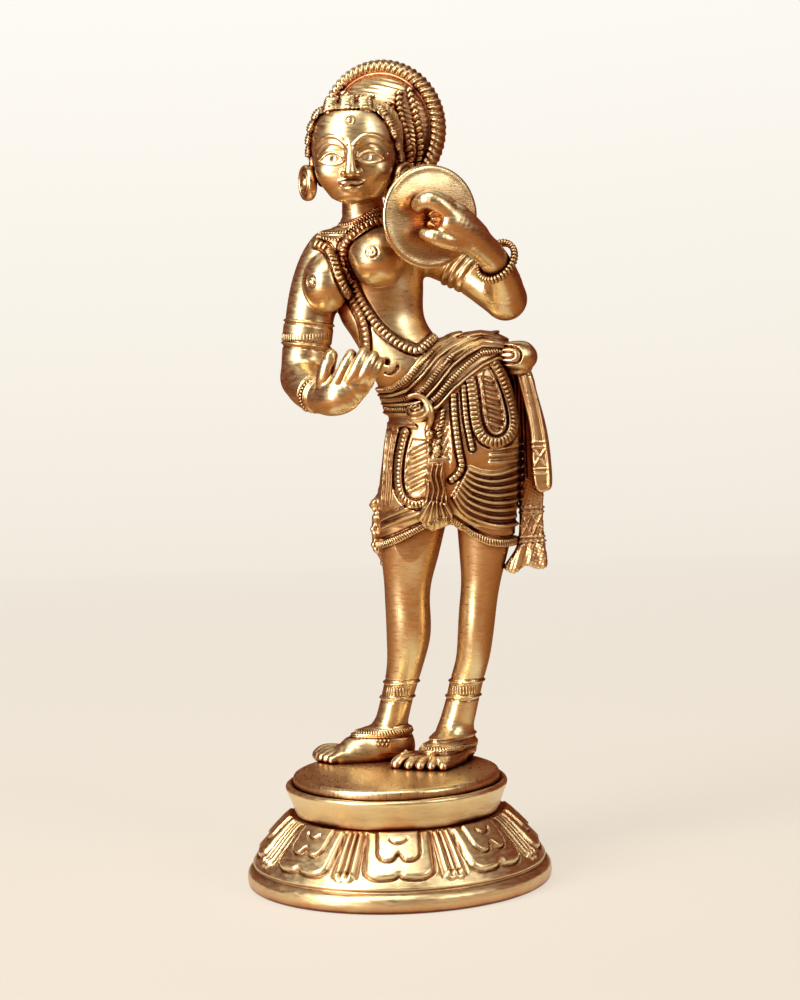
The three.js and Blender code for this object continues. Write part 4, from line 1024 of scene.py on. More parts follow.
RIGHT_ANKLE_RINGS = [
    (16.6, 17.4, 0.5, 0.35), (20.7, 21.5, 0.5, 0.35), (21.7, 22.2, -0.3, 0.3), (15.9, 16.4, -0.3, 0.3),
    (6.8, 9.2, 0.45, 0.5), (9.4, 9.9, -0.25, 0.25), (6.1, 6.6, -0.4, 0.25),
]
LEFT_ANKLE_RINGS = [
    (17.0, 17.8, 0.5, 0.35), (21.1, 21.9, 0.5, 0.35), (22.1, 22.6, -0.3, 0.3), (16.3, 16.8, -0.3, 0.3),
    (6.7, 7.5, 0.5, 0.35), (5.9, 6.5, -0.3, 0.25), (3.9, 5.6, 0.4, 0.5), (3.2, 3.7, -0.3, 0.25),
]


@functools.lru_cache(None)
def right_leg_shape():
    return leg_with_foot(RIGHT_LEG, (1, 16), (-0.995, -0.06), 23.6, 9.6, RIGHT_ANKLE_RINGS)


@functools.lru_cache(None)
def left_leg_shape():
    return leg_with_foot(LEFT_LEG, (17.2, 13), (-0.6, -0.8), 20.6, 14.4, LEFT_ANKLE_RINGS)


class APSARA_OT_legs(bpy.types.Operator):
    """Sculpts both legs with their feet, ankle rings and beads"""

    bl_idname = "apsara.legs"
    bl_label = "Legs"

    def execute(self, context):
        grain = context.scene.apsara_sculpt.body_grain / MM * 0.85
        brass = brass_material("limb_brass")
        above_plate = lambda points: -0.25 - points[:, 2]
        for side, shape, low, high in (
            ("right", right_leg_shape(), (-26, 4, -1), (18, 26, 70)),
            ("left", left_leg_shape(), (-4, -8, -1), (36, 24, 70)),
        ):
            made = sculpt(side + "_leg_cast", limited(shape, above_plate), low, high, grain)
            finish_piece(
                made, brass, side + "_leg", side + "_foot", side + "_upper_anklet", side + "_lower_anklet",
            )
        self.beads(brass_material("ornament_brass"))
        return {"FINISHED"}

    def beads(self, brass):
        """Hatching of the anklets and the beads over the insteps."""
        right, left = right_leg_shape(), left_leg_shape()
        hatch = [
            loop_on(right, (1.5, 15.1), lambda x, y: 19.0, 0.75, 20, (225, 300)),
            loop_on(left, (19.2, 11.5), lambda x, y: 19.4, 0.75, 20, (225, 300)),
        ]
        made = ribs_on("upper_anklet_hatching", hatch, brass, 0.5, 3.1, 0.55)
        finish_piece(made, brass)
        rows = [
            loop_on(right, (-2, 15.6), lambda x, y: 8.0, 0.8, 20),
            loop_on(left, (15.4, 11.2), lambda x, y: 4.8 - 0.1 * (x - 13), 0.8, 26),
        ]
        made = ribs_on("lower_anklet_beads", rows, brass, 0.6, 1.9, 0.6, 0.5)
        finish_piece(made, brass)
        drops = [loop_on(right, (-2, 15.6), lambda x, y: level, 1.0, 20, span) for level, span in (
            (5.9, (238, 272)), (4.9, (243, 266)),
        )]
        made = ribs_on("instep_bead_drops", drops, brass, 0.9, 0.95, 0.9)
        finish_piece(made, brass)


# Dress


def plain_hips():
    """Hips and thighs under the cloth."""
    return joined(loft(HIPS), limb(RIGHT_THIGH), limb(LEFT_THIGH), softness=2.4)


@functools.lru_cache(None)
def cloth_relief():
    """Folds, swags and hems of the skirt over the front view."""
    ladder = [smooth_line(np.array(PLEAT_TOP) * (1 - i / 8) + np.array(PLEAT_FOOT) * (i / 8)) for i in range(9)]
    short_folds = [[(27.6, 85), (33.4, 85), (38, 85.4)], [(27.5, 83.3), (33.4, 83.1), (38, 83.4)], [(27.2, 81.3), (33.4, 81.1), (38, 81.4)]]
    broad_folds = [[(-7, 63.2), (-0.5, 66.9), (3.2, 68.8), (7.1, 70.8)], [(-7, 60.8), (-0.9, 64.5), (3.1, 66.3), (8.2, 68.4), (12, 70)]]
    wavy = [
        [(2, 91), (0.8, 85.1), (0.2, 80.6), (-0.2, 75.7), (-0.7, 70.6)],
        [(3.2, 91), (1.9, 83.8), (1.4, 79.1), (0.9, 74.5), (0.5, 70.2)],
        [(0.6, 91), (-0.4, 84.5), (-0.9, 79.1), (-1.4, 74.5), (-2, 69)],
    ]
    left_leaves = [(24.9, 103.7, 28.1, 102.4), (25.4, 101.7, 28.9, 100.4), (25.7, 99.2, 29.7, 97.7), (26.2, 96.7, 30.2, 95), (26.7, 94.2, 30.8, 92.4), (27.4, 91.8, 30.6, 90.4)]
    right_leaves = [(6.6, 84.6, 10.9, 86.8), (6.2, 82, 10.9, 84.3), (5.7, 79.2, 10.8, 81.7), (5.4, 76.6, 10.2, 79), (5.8, 74.4, 9.8, 76.6)]
    bands = [(LEFT_SWAG, 1.4, 0.55), (RIGHT_SWAG, 1.0, 0.5), (INNER_STRAND, 0.72, 0.5), (OUTER_STRAND, 0.62, 0.4)]

    def height(points):
        x, z = points.T
        total = np.zeros(len(points))
        hem_foot, hem_top = np.interp(x, HEM_X, HEM_FOOT), np.interp(x, HEM_X, HEM_TOP)
        total += 0.75 * rise(z - hem_foot + 0.3, 0.4) * rise(hem_top - z, 0.4)
        total -= 0.5 * mound(np.abs(z - hem_top - 0.35), 0.45)
        pleats = np.zeros(len(points))
        for line in ladder[:-1]:
            pleats = np.maximum(pleats, 1.35 * mound(away_from(points, line)[0], 1.15))
        for line in short_folds:
            pleats = np.maximum(pleats, 0.8 * mound(away_from(points, line)[0], 0.95))
        for line in broad_folds:
            pleats = np.maximum(pleats, 1.1 * mound(away_from(points, smooth_line(line))[0], 1.2))
        for line in wavy:
            pleats = np.maximum(pleats, 0.5 * mound(away_from(points, smooth_line(line))[0], 0.6))
        waist_rings = [(0, 91.6, 8, 91.4), (0, 89.9, 6, 89.7)]
        for ax, az, bx, bz in waist_rings:
            pleats = np.maximum(pleats, 0.6 * mound(away_from(points, [(ax - 6, az), (bx, bz)])[0], 0.8))
        left_panel = depth_in(points, smooth_line([*LEFT_LEAF, LEFT_LEAF[0]])[:-1])
        right_panel = depth_in(points, RIGHT_LEAF)
        for ax, az, bx, bz in left_leaves:
            pleats = np.maximum(pleats, 0.75 * mound(away_from(points, [(ax, az), (bx, bz)])[0], 0.95) * (left_panel > 0))
        for ax, az, bx, bz in right_leaves:
            pleats = np.maximum(pleats, 0.75 * mound(away_from(points, [(ax, az), (bx, bz)])[0], 0.95) * (right_panel > -0.4))
        total += pleats
        total -= 0.35 * rise(left_panel, 0.5) + 0.35 * rise(right_panel, 0.5)
        leaf_edge = away_from(points, smooth_line(LEFT_LEAF))[0]
        total += 0.45 * mound(np.abs(leaf_edge - 0.25), 0.4)
        for line, half_width, proud in bands:
            away = away_from(points, smooth_line(line))[0]
            flat = rise(half_width - away + 0.25, 0.5)
            total = total * (1 - flat) + proud * flat
            total -= 0.6 * mound(np.abs(away - half_width - 0.3), 0.38)
        fan = depth_in(points, FAN)
        pleat = depth_in(points, CENTRE_PLEAT)
        spokes = np.arctan2(x - 12.8, 74.5 - z)
        fan_height = 1.5 + 0.4 * np.cos(spokes * 24)
        pleat_height = 1.3 + 0.4 * np.cos((x - 13.1 + 0.3 * np.sin(z * 0.9)) * 2 * np.pi / 1.3)
        total = np.where(pleat > 0, pleat_height * rise(pleat, 0.35) + total * (1 - rise(pleat, 0.35)), total)
        total = np.where(fan > 0, fan_height * rise(fan, 0.4) + total * (1 - rise(fan, 0.4)), total)
        middle = depth_in(points, [(11.6, 93), (17, 93), (17.2, 84), (16.4, 78), (15.6, 83), (11.4, 83)])
        rough = np.sin(x * 4.1 + 0.8 * z) * np.sin(z * 3.3 - 0.6 * x)
        total += rise(middle, 0.8) * (0.2 * rough - 0.4)
        edge = away_from(points, smooth_line([(31, 110), (33, 103.6), (35, 96.6), (35.7, 90.1), (35, 79.9), (34.4, 66)]))[0]
        total -= 1.0 * mound(edge, 0.8)
        return total

    return front_map((-9, 52), (44, 118), height)


@functools.lru_cache(None)
def back_relief():
    """Long soft folds of the skirt's back."""

    def height(points):
        x, z = points.T
        hem_foot, hem_top = np.interp(x, HEM_X, HEM_FOOT), np.interp(x, HEM_X, HEM_TOP)
        total = 0.75 * rise(z - hem_foot + 0.3, 0.4) * rise(hem_top - z, 0.4)
        total -= 0.5 * mound(np.abs(z - hem_top - 0.35), 0.45)
        sag = 0.014 * (x - 17) ** 2
        folds = (0.5 + 0.5 * np.cos((z - 65 - sag) * 2 * np.pi / 4.4)) ** 1.5
        folds *= rise(x - 0.5, 5) * rise(35 - x, 5) * rise(z - hem_top - 0.6, 1)
        seam = mound(np.abs(x - 17 + 0.02 * (z - 60)), 1.2)
        return total + 0.9 * folds * (1 - seam) - 0.6 * seam * rise(z - hem_top, 2)

    return front_map((-9, 52), (44, 118), height)


@functools.lru_cache(None)
def skirt_shape():
    front, back = cloth_relief(), back_relief()
    hips = plain_hips()

    def height(points):
        x, y, z = points.T
        ahead = rise(9 - y, 4)
        return front(x, z) * ahead + back(x, z) * (1 - ahead)

    under_hem = lambda points: np.interp(points[:, 0], HEM_X, HEM_FOOT) - points[:, 2]
    fan_gap = lambda points: -depth_in(points[:, [0, 2]], FAN) + 2 * (points[:, 1] > 3)
    apart = lambda points: np.minimum(under_hem(points), np.maximum(fan_gap(points), points[:, 1] - 3))
    return limited(raised(hips, height), apart)


@functools.lru_cache(None)
def waist_shape():
    """The smooth body round the waist, with nothing laid on it."""
    return joined(plain_hips(), loft(TORSO), softness=2.0)


@functools.lru_cache(None)
def girdle_skin():
    """The banded surface of the girdle, not yet cut to its edges."""
    middles = [np.array(line) for line in GIRDLE_LINES]

    def height(points):
        x, z = points[:, 0], points[:, 2]
        total = np.full(len(points), 0.15)
        slope = np.interp(x, [-3, 6, 10, 18, 26, 36], [1, 0.85, 0.68, 0.78, 0.95, 0.95])
        for index, middle in enumerate(middles):
            away = np.abs(z - np.interp(x, GIRDLE_X, middle)) * slope
            plain = index % 2 == 1
            total = np.maximum(total, 0.15 + (1.25 if plain else 0.8) * mound(away, 1.0 if plain else 0.95))
        return total

    return raised(waist_shape(), height)


def girdle_shape():
    """The girdle as a band round the waist."""
    waist = waist_shape()
    top = lambda points: points[:, 2] - np.interp(points[:, 0], GIRDLE_X, GIRDLE_TOP)
    foot = lambda points: np.interp(points[:, 0], GIRDLE_X, GIRDLE_FOOT) - points[:, 2]
    inner = lambda points: -waist(points) - 1.6
    return limited(girdle_skin(), top, foot, inner)


class APSARA_OT_dress(bpy.types.Operator):
    """Sculpts the pleated skirt with its swags, panels, hems and centre fan"""

    bl_idname = "apsara.dress"
    bl_label = "Skirt"

    def execute(self, context):
        grain = context.scene.apsara_sculpt.chased_grain / MM
        brass = brass_material("ornament_brass")
        skirt = sculpt("pleated_skirt", skirt_shape(), (-5, -12, 55), (41, 24, 113), grain)
        finish_piece(
            skirt, brass, "skirt", "right_hem_band", "left_hem_band", "right_thigh_panel", "left_thigh_panel",
            "centre_pleat",
        )
        self.swags(brass)
        self.hems(brass)
        self.tassel(brass, context)
        return {"FINISHED"}

    def swags(self, brass):
        """Ribs of the looped swags and strands on both thighs."""
        shape = skirt_shape()
        made = ribs_on("left_thigh_swag_ribs", line_on(shape, LEFT_SWAG, 1.2), brass, 1.15, 2.9, 0.9)
        finish_piece(made, brass, "left_thigh_swag")
        made = ribs_on("right_thigh_swag_ribs", line_on(shape, RIGHT_SWAG, 1.12), brass, 1.1, 2.1, 0.9)
        finish_piece(made, brass, "right_thigh_swag")
        made = ribs_on("thigh_strand_ribs", line_on(shape, INNER_STRAND, 1.2), brass, 1.2, 1.75, 0.95)
        finish_piece(made, brass, "left_thigh_strand")
        made = ribs_on("thigh_side_strand_ribs", line_on(shape, OUTER_STRAND, 1.15), brass, 1.05, 1.45, 0.7)
        finish_piece(made, brass)

    def hems(self, brass):
        """Fine hatching along both hems, in front and behind."""
        shape = skirt_shape()
        middle = lambda x, y: float(np.interp(x, HEM_X, np.add(HEM_FOOT, HEM_TOP) / 2))
        rows = [
            loop_on(shape, (5, 11), middle, 0.72, 24, (90, 318)),
            loop_on(shape, (25.6, 8), middle, 0.72, 24, (-118, 95)),
        ]
        made = ribs_on("hem_hatching", rows, brass, 0.5, 2.1, 0.6, 0.25)
        finish_piece(made, brass)

    def tassel(self, brass, context):
        """The twisted cord that hangs from the girdle, ending in a long bead."""
        cord = line_on(skirt_shape(), ROPE, 0.85)
        cord[:, :3] += cord[:, 6:9] * 0.6
        made = ribs_on("girdle_cord", cord, brass, 0.75, 1.7, 1.5, 0.7)
        finish_piece(made, brass, "centre_tassel")
        end = cord[-1, :3]
        bead = egg(end + (0, -0.3, -1.6), (1.05, 1.0, 1.7))
        grooved = raised(bead, lambda p: 0.12 * np.cos((p[:, 0] + 0.7 * p[:, 2]) * 7))
        made = sculpt(
            "girdle_cord_bead", grooved, end - (3, 3, 5), end + (3, 3, 2), context.scene.apsara_sculpt.face_grain / MM,
        )
        finish_piece(made, brass)


class APSARA_OT_girdle(bpy.types.Operator):
    """Sculpts the banded girdle, its ribs and its spiral clasp"""

    bl_idname = "apsara.girdle"
    bl_label = "Girdle"

    def execute(self, context):
        sizes = context.scene.apsara_sculpt
        brass = brass_material("ornament_brass")
        bands = sculpt("girdle_bands", girdle_shape(), (-6, -13, 92), (40, 24, 119), sizes.chased_grain / MM)
        finish_piece(bands, brass, *[f"girdle_band_{i + 1}" for i in range(len(GIRDLE_LINES))])
        rows = []
        for index in (0, 2, 4):
            level = lambda x, y: float(np.interp(x, GIRDLE_X, GIRDLE_LINES[index]))
            row = loop_on(girdle_skin(), (17.6, 6), level, 0.78, 40)
            rows.append(row[(row[:, 8] < 0.4) & (row[:, 2] < 112)])
        made = ribs_on("girdle_ribs", rows, brass, 0.6, 1.45, 0.45, 0.2)
        finish_piece(made, brass)
        self.clasp(brass, sizes.face_grain / MM)
        return {"FINISHED"}

    def clasp(self, brass, grain):
        """A spiral boss beside a crescent, with a drop under it."""
        seat = line_on(girdle_skin(), [(8.2, 97.6), (8.7, 95.2)], 1.0)[-1]
        centre = seat[:3] + (0, -0.5, 0)
        facing = Vector(seat[6:9])
        turn = np.array(facing.to_track_quat("Z", "Y").to_matrix())
        boss = egg(centre, (3.2, 3.2, 1.9), turn)

        def spiral(points):
            local = (points - centre) @ turn
            radius = np.hypot(local[:, 0], local[:, 1])
            angle = np.arctan2(local[:, 1], local[:, 0])
            return 0.34 * np.cos(radius * 2 * np.pi / 1.15 - angle) * rise(3.3 - radius, 0.6)

        hook = []
        for x, z, radius in (
            (6.6, 99.3, 0.7), (8.6, 99.6, 0.85), (10.8, 98, 1.05), (11.9, 95.2, 1.1), (11.7, 92.4, 0.9), (10.9, 90.6, 0.75),
        ):
            found = cast(girdle_skin(), np.array([(x, -60.0, z)]), np.array([(0, 1.0, 0)]))[0]
            hook.append((x, found[1] - 0.3, z, radius))
        drop = egg((11.4, hook[-1][1] - 0.4, 89.4), (1.25, 1.25, 1.35))
        whole = joined(raised(boss, spiral), limb(hook), drop, softness=0.35)
        made = sculpt("girdle_clasp_boss", whole, centre - (6, 4, 8), centre + (6, 4, 7), grain)
        finish_piece(made, brass, "girdle_clasp")


# Sashes


class APSARA_OT_sashes(bpy.types.Operator):
    """Sculpts the hip knot and the hanging sash ends"""

    bl_idname = "apsara.sashes"
    bl_label = "Sashes"

    def execute(self, context):
        grain = context.scene.apsara_sculpt.chased_grain / MM
        brass = brass_material("ornament_brass")
        self.knot(brass, grain)
        self.long_tail(brass, grain)
        self.short_tail(brass, grain)
        self.right_tail(brass, grain)
        return {"FINISHED"}

    def knot(self, brass, grain):
        """A thick fold of cloth rolled into a scroll over the left hip."""
        roll = joined(
            limb([(31.6, 1.6, 108.8, 3.0), (34.4, 0.8, 108.6, 3.8), (36.2, 1.4, 108.4, 4.0)]),
            limb([(34, 6, 108.4, 3.6), (37, 4.2, 108, 3.6)]),
            limb([(32.2, 2.6, 104.9, 1.3), (35.2, 1.2, 104.8, 1.3), (37.8, 2.6, 105, 1.2)]),
            softness=0.8,
        )
        scroll = smooth_line([(30.4, 111), (34.3, 111), (36, 109.6), (35.9, 107.9), (34.4, 106.8), (30.6, 107)])
        core = smooth_line([(30.8, 109.7), (33.4, 109.8), (34.2, 109), (33.4, 108.2), (31, 108.3)])

        def grooves(points):
            flat = points[:, [0, 2]]
            lines = 0.75 * mound(away_from(flat, scroll)[0], 0.5) + 0.6 * mound(away_from(flat, core)[0], 0.45)
            return -lines * rise(3 - points[:, 1], 3)

        made = sculpt("hip_knot", raised(roll, grooves), (27, -6, 101), (42, 13, 115), grain)
        finish_piece(made, brass, "left_hip_knot")

    def long_tail(self, brass, grain):
        """The longer sash end, with a crossed band and a fan at its foot."""
        outline = [
            (33.4, 105), (33.2, 96), (33.6, 84), (34.4, 73), (34.8, 67.5), (34.4, 60), (32.6, 55.4), (30.4, 51.9),
            (32.6, 51), (35, 52), (37.4, 52.6), (39.6, 51.4), (41.4, 53.4), (41.2, 60), (41, 66.4), (41.4, 73),
            (41.8, 84), (40.6, 96), (38.4, 105),
        ]

        def height(points):
            x, z = points.T
            total = np.zeros(len(points))
            for line in ([(34.6, 104), (34.6, 92), (35.2, 78)], [(36.3, 104), (36.4, 92), (36.6, 76)]):
                total = np.maximum(total, 0.7 * mound(away_from(points, smooth_line(line))[0], 0.75))
            for level in (67.9, 66.7, 60.2, 59):
                total = np.maximum(total, 0.45 * mound(np.abs(z - level), 0.42))
            held = rise(66.4 - z, 0.3) * rise(z - 60.5, 0.3)
            for a, b in (((35.2, 66.2), (38, 60.6)), ((38, 66.2), (40.6, 60.6)), ((35.2, 60.6), (38, 66.2)), ((38, 60.6), (40.6, 66.2))):
                total = np.maximum(total, 0.45 * held * mound(away_from(points, [a, b])[0], 0.4))
            spokes = np.arctan2(x - 37.6, 66 - z)
            total = np.maximum(total, 0.55 * (0.5 + 0.5 * np.cos(spokes * 22)) * rise(58.6 - z, 0.6))
            total += 0.12 * np.sin(x * 5 + z * 2.2) * np.sin(z * 4.1 - x) * rise(77 - z, 2)
            return total

        relief = front_map((29, 49), (44, 107), height)
        front_only = lambda points: relief(points[:, 0], points[:, 2]) * rise(8.6 - points[:, 1], 2)
        body = raised(slab(outline, 5.6, 9.4, 0.8), front_only)
        made = sculpt("long_sash_end", body, (28, 3, 49), (45, 12, 107), grain)
        finish_piece(made, brass, "left_sash_long_tail")

    def short_tail(self, brass, grain):
        """The shorter sash end that lies over the longer one."""
        outline = [
            (34.6, 104.4), (38.2, 104.2), (40.2, 98.3), (42.5, 88.6), (43.5, 77.6), (43.2, 73.4), (41.5, 72.4),
            (38.8, 74), (38.2, 84.3), (37.2, 93.1),
        ]

        def height(points):
            x, z = points.T
            total = 0.45 * mound(away_from(points, smooth_line([(38.6, 103), (41, 92), (42.5, 80), (42.6, 74)]))[0], 0.6)
            total += 0.35 * mound(away_from(points, smooth_line([(36.8, 103), (38.6, 93), (39.4, 86)]))[0], 0.6)
            for level in (85.6, 84.3, 78.6, 77.4):
                total = np.maximum(total, 0.4 * mound(np.abs(z - level), 0.4) * rise(42.6 - x, 0.4))
            held = rise(84 - z, 0.3) * rise(z - 79, 0.3)
            for a, b in (((38.6, 84), (42, 79)), ((38.6, 79), (42, 84))):
                total = np.maximum(total, 0.4 * held * mound(away_from(points, [a, b])[0], 0.4))
            return total

        relief = front_map((33, 70), (45, 106), height)
        front_only = lambda points: relief(points[:, 0], points[:, 2]) * rise(4.6 - points[:, 1], 2)
        body = raised(slab(outline, 1.9, 5.4, 0.8), front_only)
        made = sculpt("short_sash_end", body, (32, -1, 70), (46, 8, 107), grain)
        finish_piece(made, brass, "left_sash_short_tail")

    def right_tail(self, brass, grain):
        """The small ruffled sash end behind the right thigh."""
        outline = [
            (3, 78), (-0.8, 77.4), (-2.3, 72.9), (-4.7, 69.6), (-4.7, 68.3), (-3.7, 67), (-4.4, 64.8), (-4.4, 57.8),
            (-3.4, 55.7), (-2, 53), (-0.6, 53.4), (2, 57), (4, 64),
        ]

        def height(points):
            x, z = points.T
            folds = np.sin(z * 1.5 + 0.9 * x) * 0.3 + np.sin(z * 2.9 - 1.6 * x) * 0.12
            return folds + 0.5 * mound(away_from(points, [(-1.6, 76), (-2.6, 66), (-2.2, 55)])[0], 0.7)

        relief = front_map((-7, 50), (6, 80), height)
        front_only = lambda points: relief(points[:, 0], points[:, 2]) * rise(15.4 - points[:, 1], 2)
        body = raised(slab(outline, 12.2, 15.8, 0.8), front_only)
        made = sculpt("right_sash_end", body, (-8, 10, 50), (6, 18, 80), grain)
        finish_piece(made, brass, "right_sash_tail")


# Torso and arms


def rings_along(first, start, way, bands):
    """A shape with raised rings at distances along an axis from a start."""
    start, way = np.asarray(start, float), np.asarray(way, float) / np.linalg.norm(way)
    return raised(first, lambda points: ring_relief((points - start) @ way, bands))


@functools.lru_cache(None)
def arm_shapes():
    """Both arms with the rings of their armlets cast on."""
    right = rings_along(
        limb(RIGHT_UPPER_ARM), (-19.2, 3, 115.6), (-0.15, -0.08, -1),
        [(-3.6, -2.7, 0.5, 0.35), (-2.4, 2, 0.3, 0.3), (2.3, 3.2, 0.5, 0.35), (3.3, 4, -0.3, 0.3)],
    )
    left = rings_along(
        limb(LEFT_UPPER_ARM), (21.6, 5, 131.4), (0.74, -0.34, -0.58),
        [(-2.4, -1.2, 0.6, 0.5), (-0.6, 0.6, 0.6, 0.5), (1.4, 3, 0.35, 0.4), (3.2, 3.8, -0.25, 0.3)],
    )
    right_lower = rings_along(
        limb(RIGHT_FOREARM), (-17, -11, 100.9), (0.44, -0.87, -0.18),
        [(-2.2, -1.4, 0.5, 0.35), (-1.1, 1.1, 0.35, 0.3), (1.4, 2.2, 0.5, 0.35)],
    )
    return joined(right, right_lower, softness=1.2), joined(left, limb(LEFT_FOREARM), softness=1.4)


NIPPLES = [(-17.9, 129.9), (-1.8, 137.3)]


@functools.lru_cache(None)
def body_relief():
    """Cords, collar, navel and creases over the front view of the torso."""
    cords = [smooth_line(OUTER_CORD), smooth_line(INNER_CORD)]
    rows = [smooth_line(row) for row in COLLAR_ROWS]
    under_cord = smooth_line([(-4.2, 120.2), (-1.8, 116.6), (1.4, 113.5), (5.2, 110.6), (8.2, 109.4)])

    def height(points):
        total = np.zeros(len(points))
        for line in rows:
            away = away_from(points, line)[0]
            total = np.maximum(total, 0.35 * rise(0.95 - away, 0.4))
        for line in cords:
            away = away_from(points, line)[0]
            total -= 0.55 * mound(np.abs(away - 1.35), 0.45)
            flat = rise(1.2 - away, 0.4)
            total = total * (1 - flat) + 0.35 * flat
        total += 0.3 * mound(away_from(points, under_cord)[0], 0.4)
        total -= 1.5 * mound(np.hypot(points[:, 0] - 1.1, points[:, 1] - 108.4), 1.15)
        crease = smooth_line([(0.6, 105.5), (2, 105.3), (3.5, 106.4), (3.9, 107.4)])
        total -= 0.8 * mound(away_from(points, crease)[0], 0.55)
        return total

    return front_map((-22, 98), (24, 150), height)


@functools.lru_cache(None)
def plain_body():
    """Torso, neck, breasts and arms run together."""
    right, left = arm_shapes()
    trunk = joined(loft(TORSO), right, softness=2.2)
    trunk = joined(trunk, left, softness=2.6)
    breasts = [egg((-13.9, -3.6, 129.4), (6.0, 7.2, 7.8)), egg((-0.6, -6.0, 135.6), (7.3, 8.4, 7.6))]
    return joined(trunk, *breasts, softness=0.9)


@functools.lru_cache(None)
def body_shape():
    relief = body_relief()
    plain = plain_body()
    peaks = cast(plain, np.array([(x, -60.0, z) for x, z in NIPPLES]), np.tile((0, 1.0, 0), (2, 1)))

    def height(points):
        total = relief(points[:, 0], points[:, 2]) * rise(3.5 - points[:, 1], 3)
        for peak in peaks:
            away = np.linalg.norm(points - peak, axis=1)
            total += 0.55 * mound(away, 0.75) + 0.3 * mound(np.abs(away - 1.05), 0.35)
            total -= 0.35 * mound(np.abs(away - 1.55), 0.35)
        return total

    return raised(plain, height)


class APSARA_OT_body(bpy.types.Operator):
    """Sculpts the torso with both arms, and lays on cords, collar and bracelets"""

    bl_idname = "apsara.body"
    bl_label = "Torso and Arms"

    def execute(self, context):
        sizes = context.scene.apsara_sculpt
        skin = brass_material("limb_brass")
        brass = brass_material("ornament_brass")
        below = lambda points: 96.5 - points[:, 2]
        body = sculpt("torso_with_arms", limited(body_shape(), below), (-29, -19, 95.5), (41, 18, 156.5), sizes.body_grain / MM)
        finish_piece(
            body, skin, "torso", "right_upper_arm", "right_forearm", "left_upper_arm", "left_forearm",
            "right_armlet", "left_armlet",
        )
        self.cords(sizes, brass)
        self.collar(brass)
        self.bracelets(brass)
        return {"FINISHED"}

    def cords(self, sizes, brass):
        """Ribs of the two chest cords."""
        pitch, width = sizes.cord_pitch / MM, sizes.cord_width / MM
        for name, line, node in (
            ("outer_chest_cord_ribs", OUTER_CORD, "outer_chest_cord"),
            ("inner_chest_cord_ribs", INNER_CORD, "inner_chest_cord"),
        ):
            made = ribs_on(name, line_on(body_shape(), line, pitch), brass, pitch * 0.98, width * 1.15, 1.15)
            finish_piece(made, brass, node)

    def collar(self, brass):
        """Rows of fine leaning ribs round the base of the neck."""
        front = [line_on(body_shape(), row, 0.8) for row in COLLAR_ROWS[::2]]
        behind = [
            loop_on(body_shape(), (-3.8, 4.2), lambda x, y: level, 0.8, 20, (5, 165)) for level in (143.2, 145.4, 147.6)
        ]
        made = ribs_on("collar_rows", front + behind, brass, 0.6, 1.6, 0.7, 0.5)
        finish_piece(made, brass, "collar")
        made = ribs_on("collar_middle_row", line_on(body_shape(), COLLAR_ROWS[1], 0.8), brass, 0.6, 1.6, 0.7, -0.5)
        finish_piece(made, brass)

    def bracelets(self, brass):
        """Hatching of the right armlet and bangle, and the loose left bangle."""
        body = body_shape()
        armlet = loop_on(body, (-19.3, 3), lambda x, y: 115.4, 0.8, 14, (150, 330))
        made = ribs_on("right_armlet_hatching", armlet, brass, 0.4, 2.2, 0.3)
        finish_piece(made, brass)
        rows = [
            ring_round((-17.05, -10.9, 100.9), (0.44, -0.87, -0.18), 5.0, 0.95, 0.9),
            ring_round((30.2, -8.8, 133.6), (-0.42, -0.66, 0.62), 4.9, 0.85, 1.2),
        ]
        made = ribs_on("bangle_ribs", rows[0], brass, 0.8, 1.9, 1.0)
        finish_piece(made, brass, "right_bangle")
        made = ribs_on("left_bangle_ribs", rows[1], brass, 1.0, 2.4, 1.9)
        finish_piece(made, brass, "left_bangle")


def ring_round(centre, axis, radius, pitch, flat=1.0):
    """Frames of a free ring round an axis, which may be wider than it is tall."""
    turn = np.array(Vector(axis).to_track_quat("Z", "Y").to_matrix())
    count = int(round(2 * math.pi * radius / pitch))
    angles = np.linspace(0, 2 * np.pi, count, endpoint=False)
    local = np.stack([radius * np.cos(angles), radius * flat * np.sin(angles), np.zeros(count)], 1)
    along = np.stack([-np.sin(angles), flat * np.cos(angles), np.zeros(count)], 1)
    facing = np.stack([flat * np.cos(angles), np.sin(angles), np.zeros(count)], 1)
    along /= np.linalg.norm(along, axis=1)[:, None]
    facing /= np.linalg.norm(facing, axis=1)[:, None]
    return np.hstack([local @ turn.T + centre, along @ turn.T, facing @ turn.T])


# Hands and mirror

MIRROR_CENTRE = (13.2, -15.6, 145.8)
MIRROR_FACING = (0.41, -0.91, 0.0)
MIRROR_RADIUS = 13.2


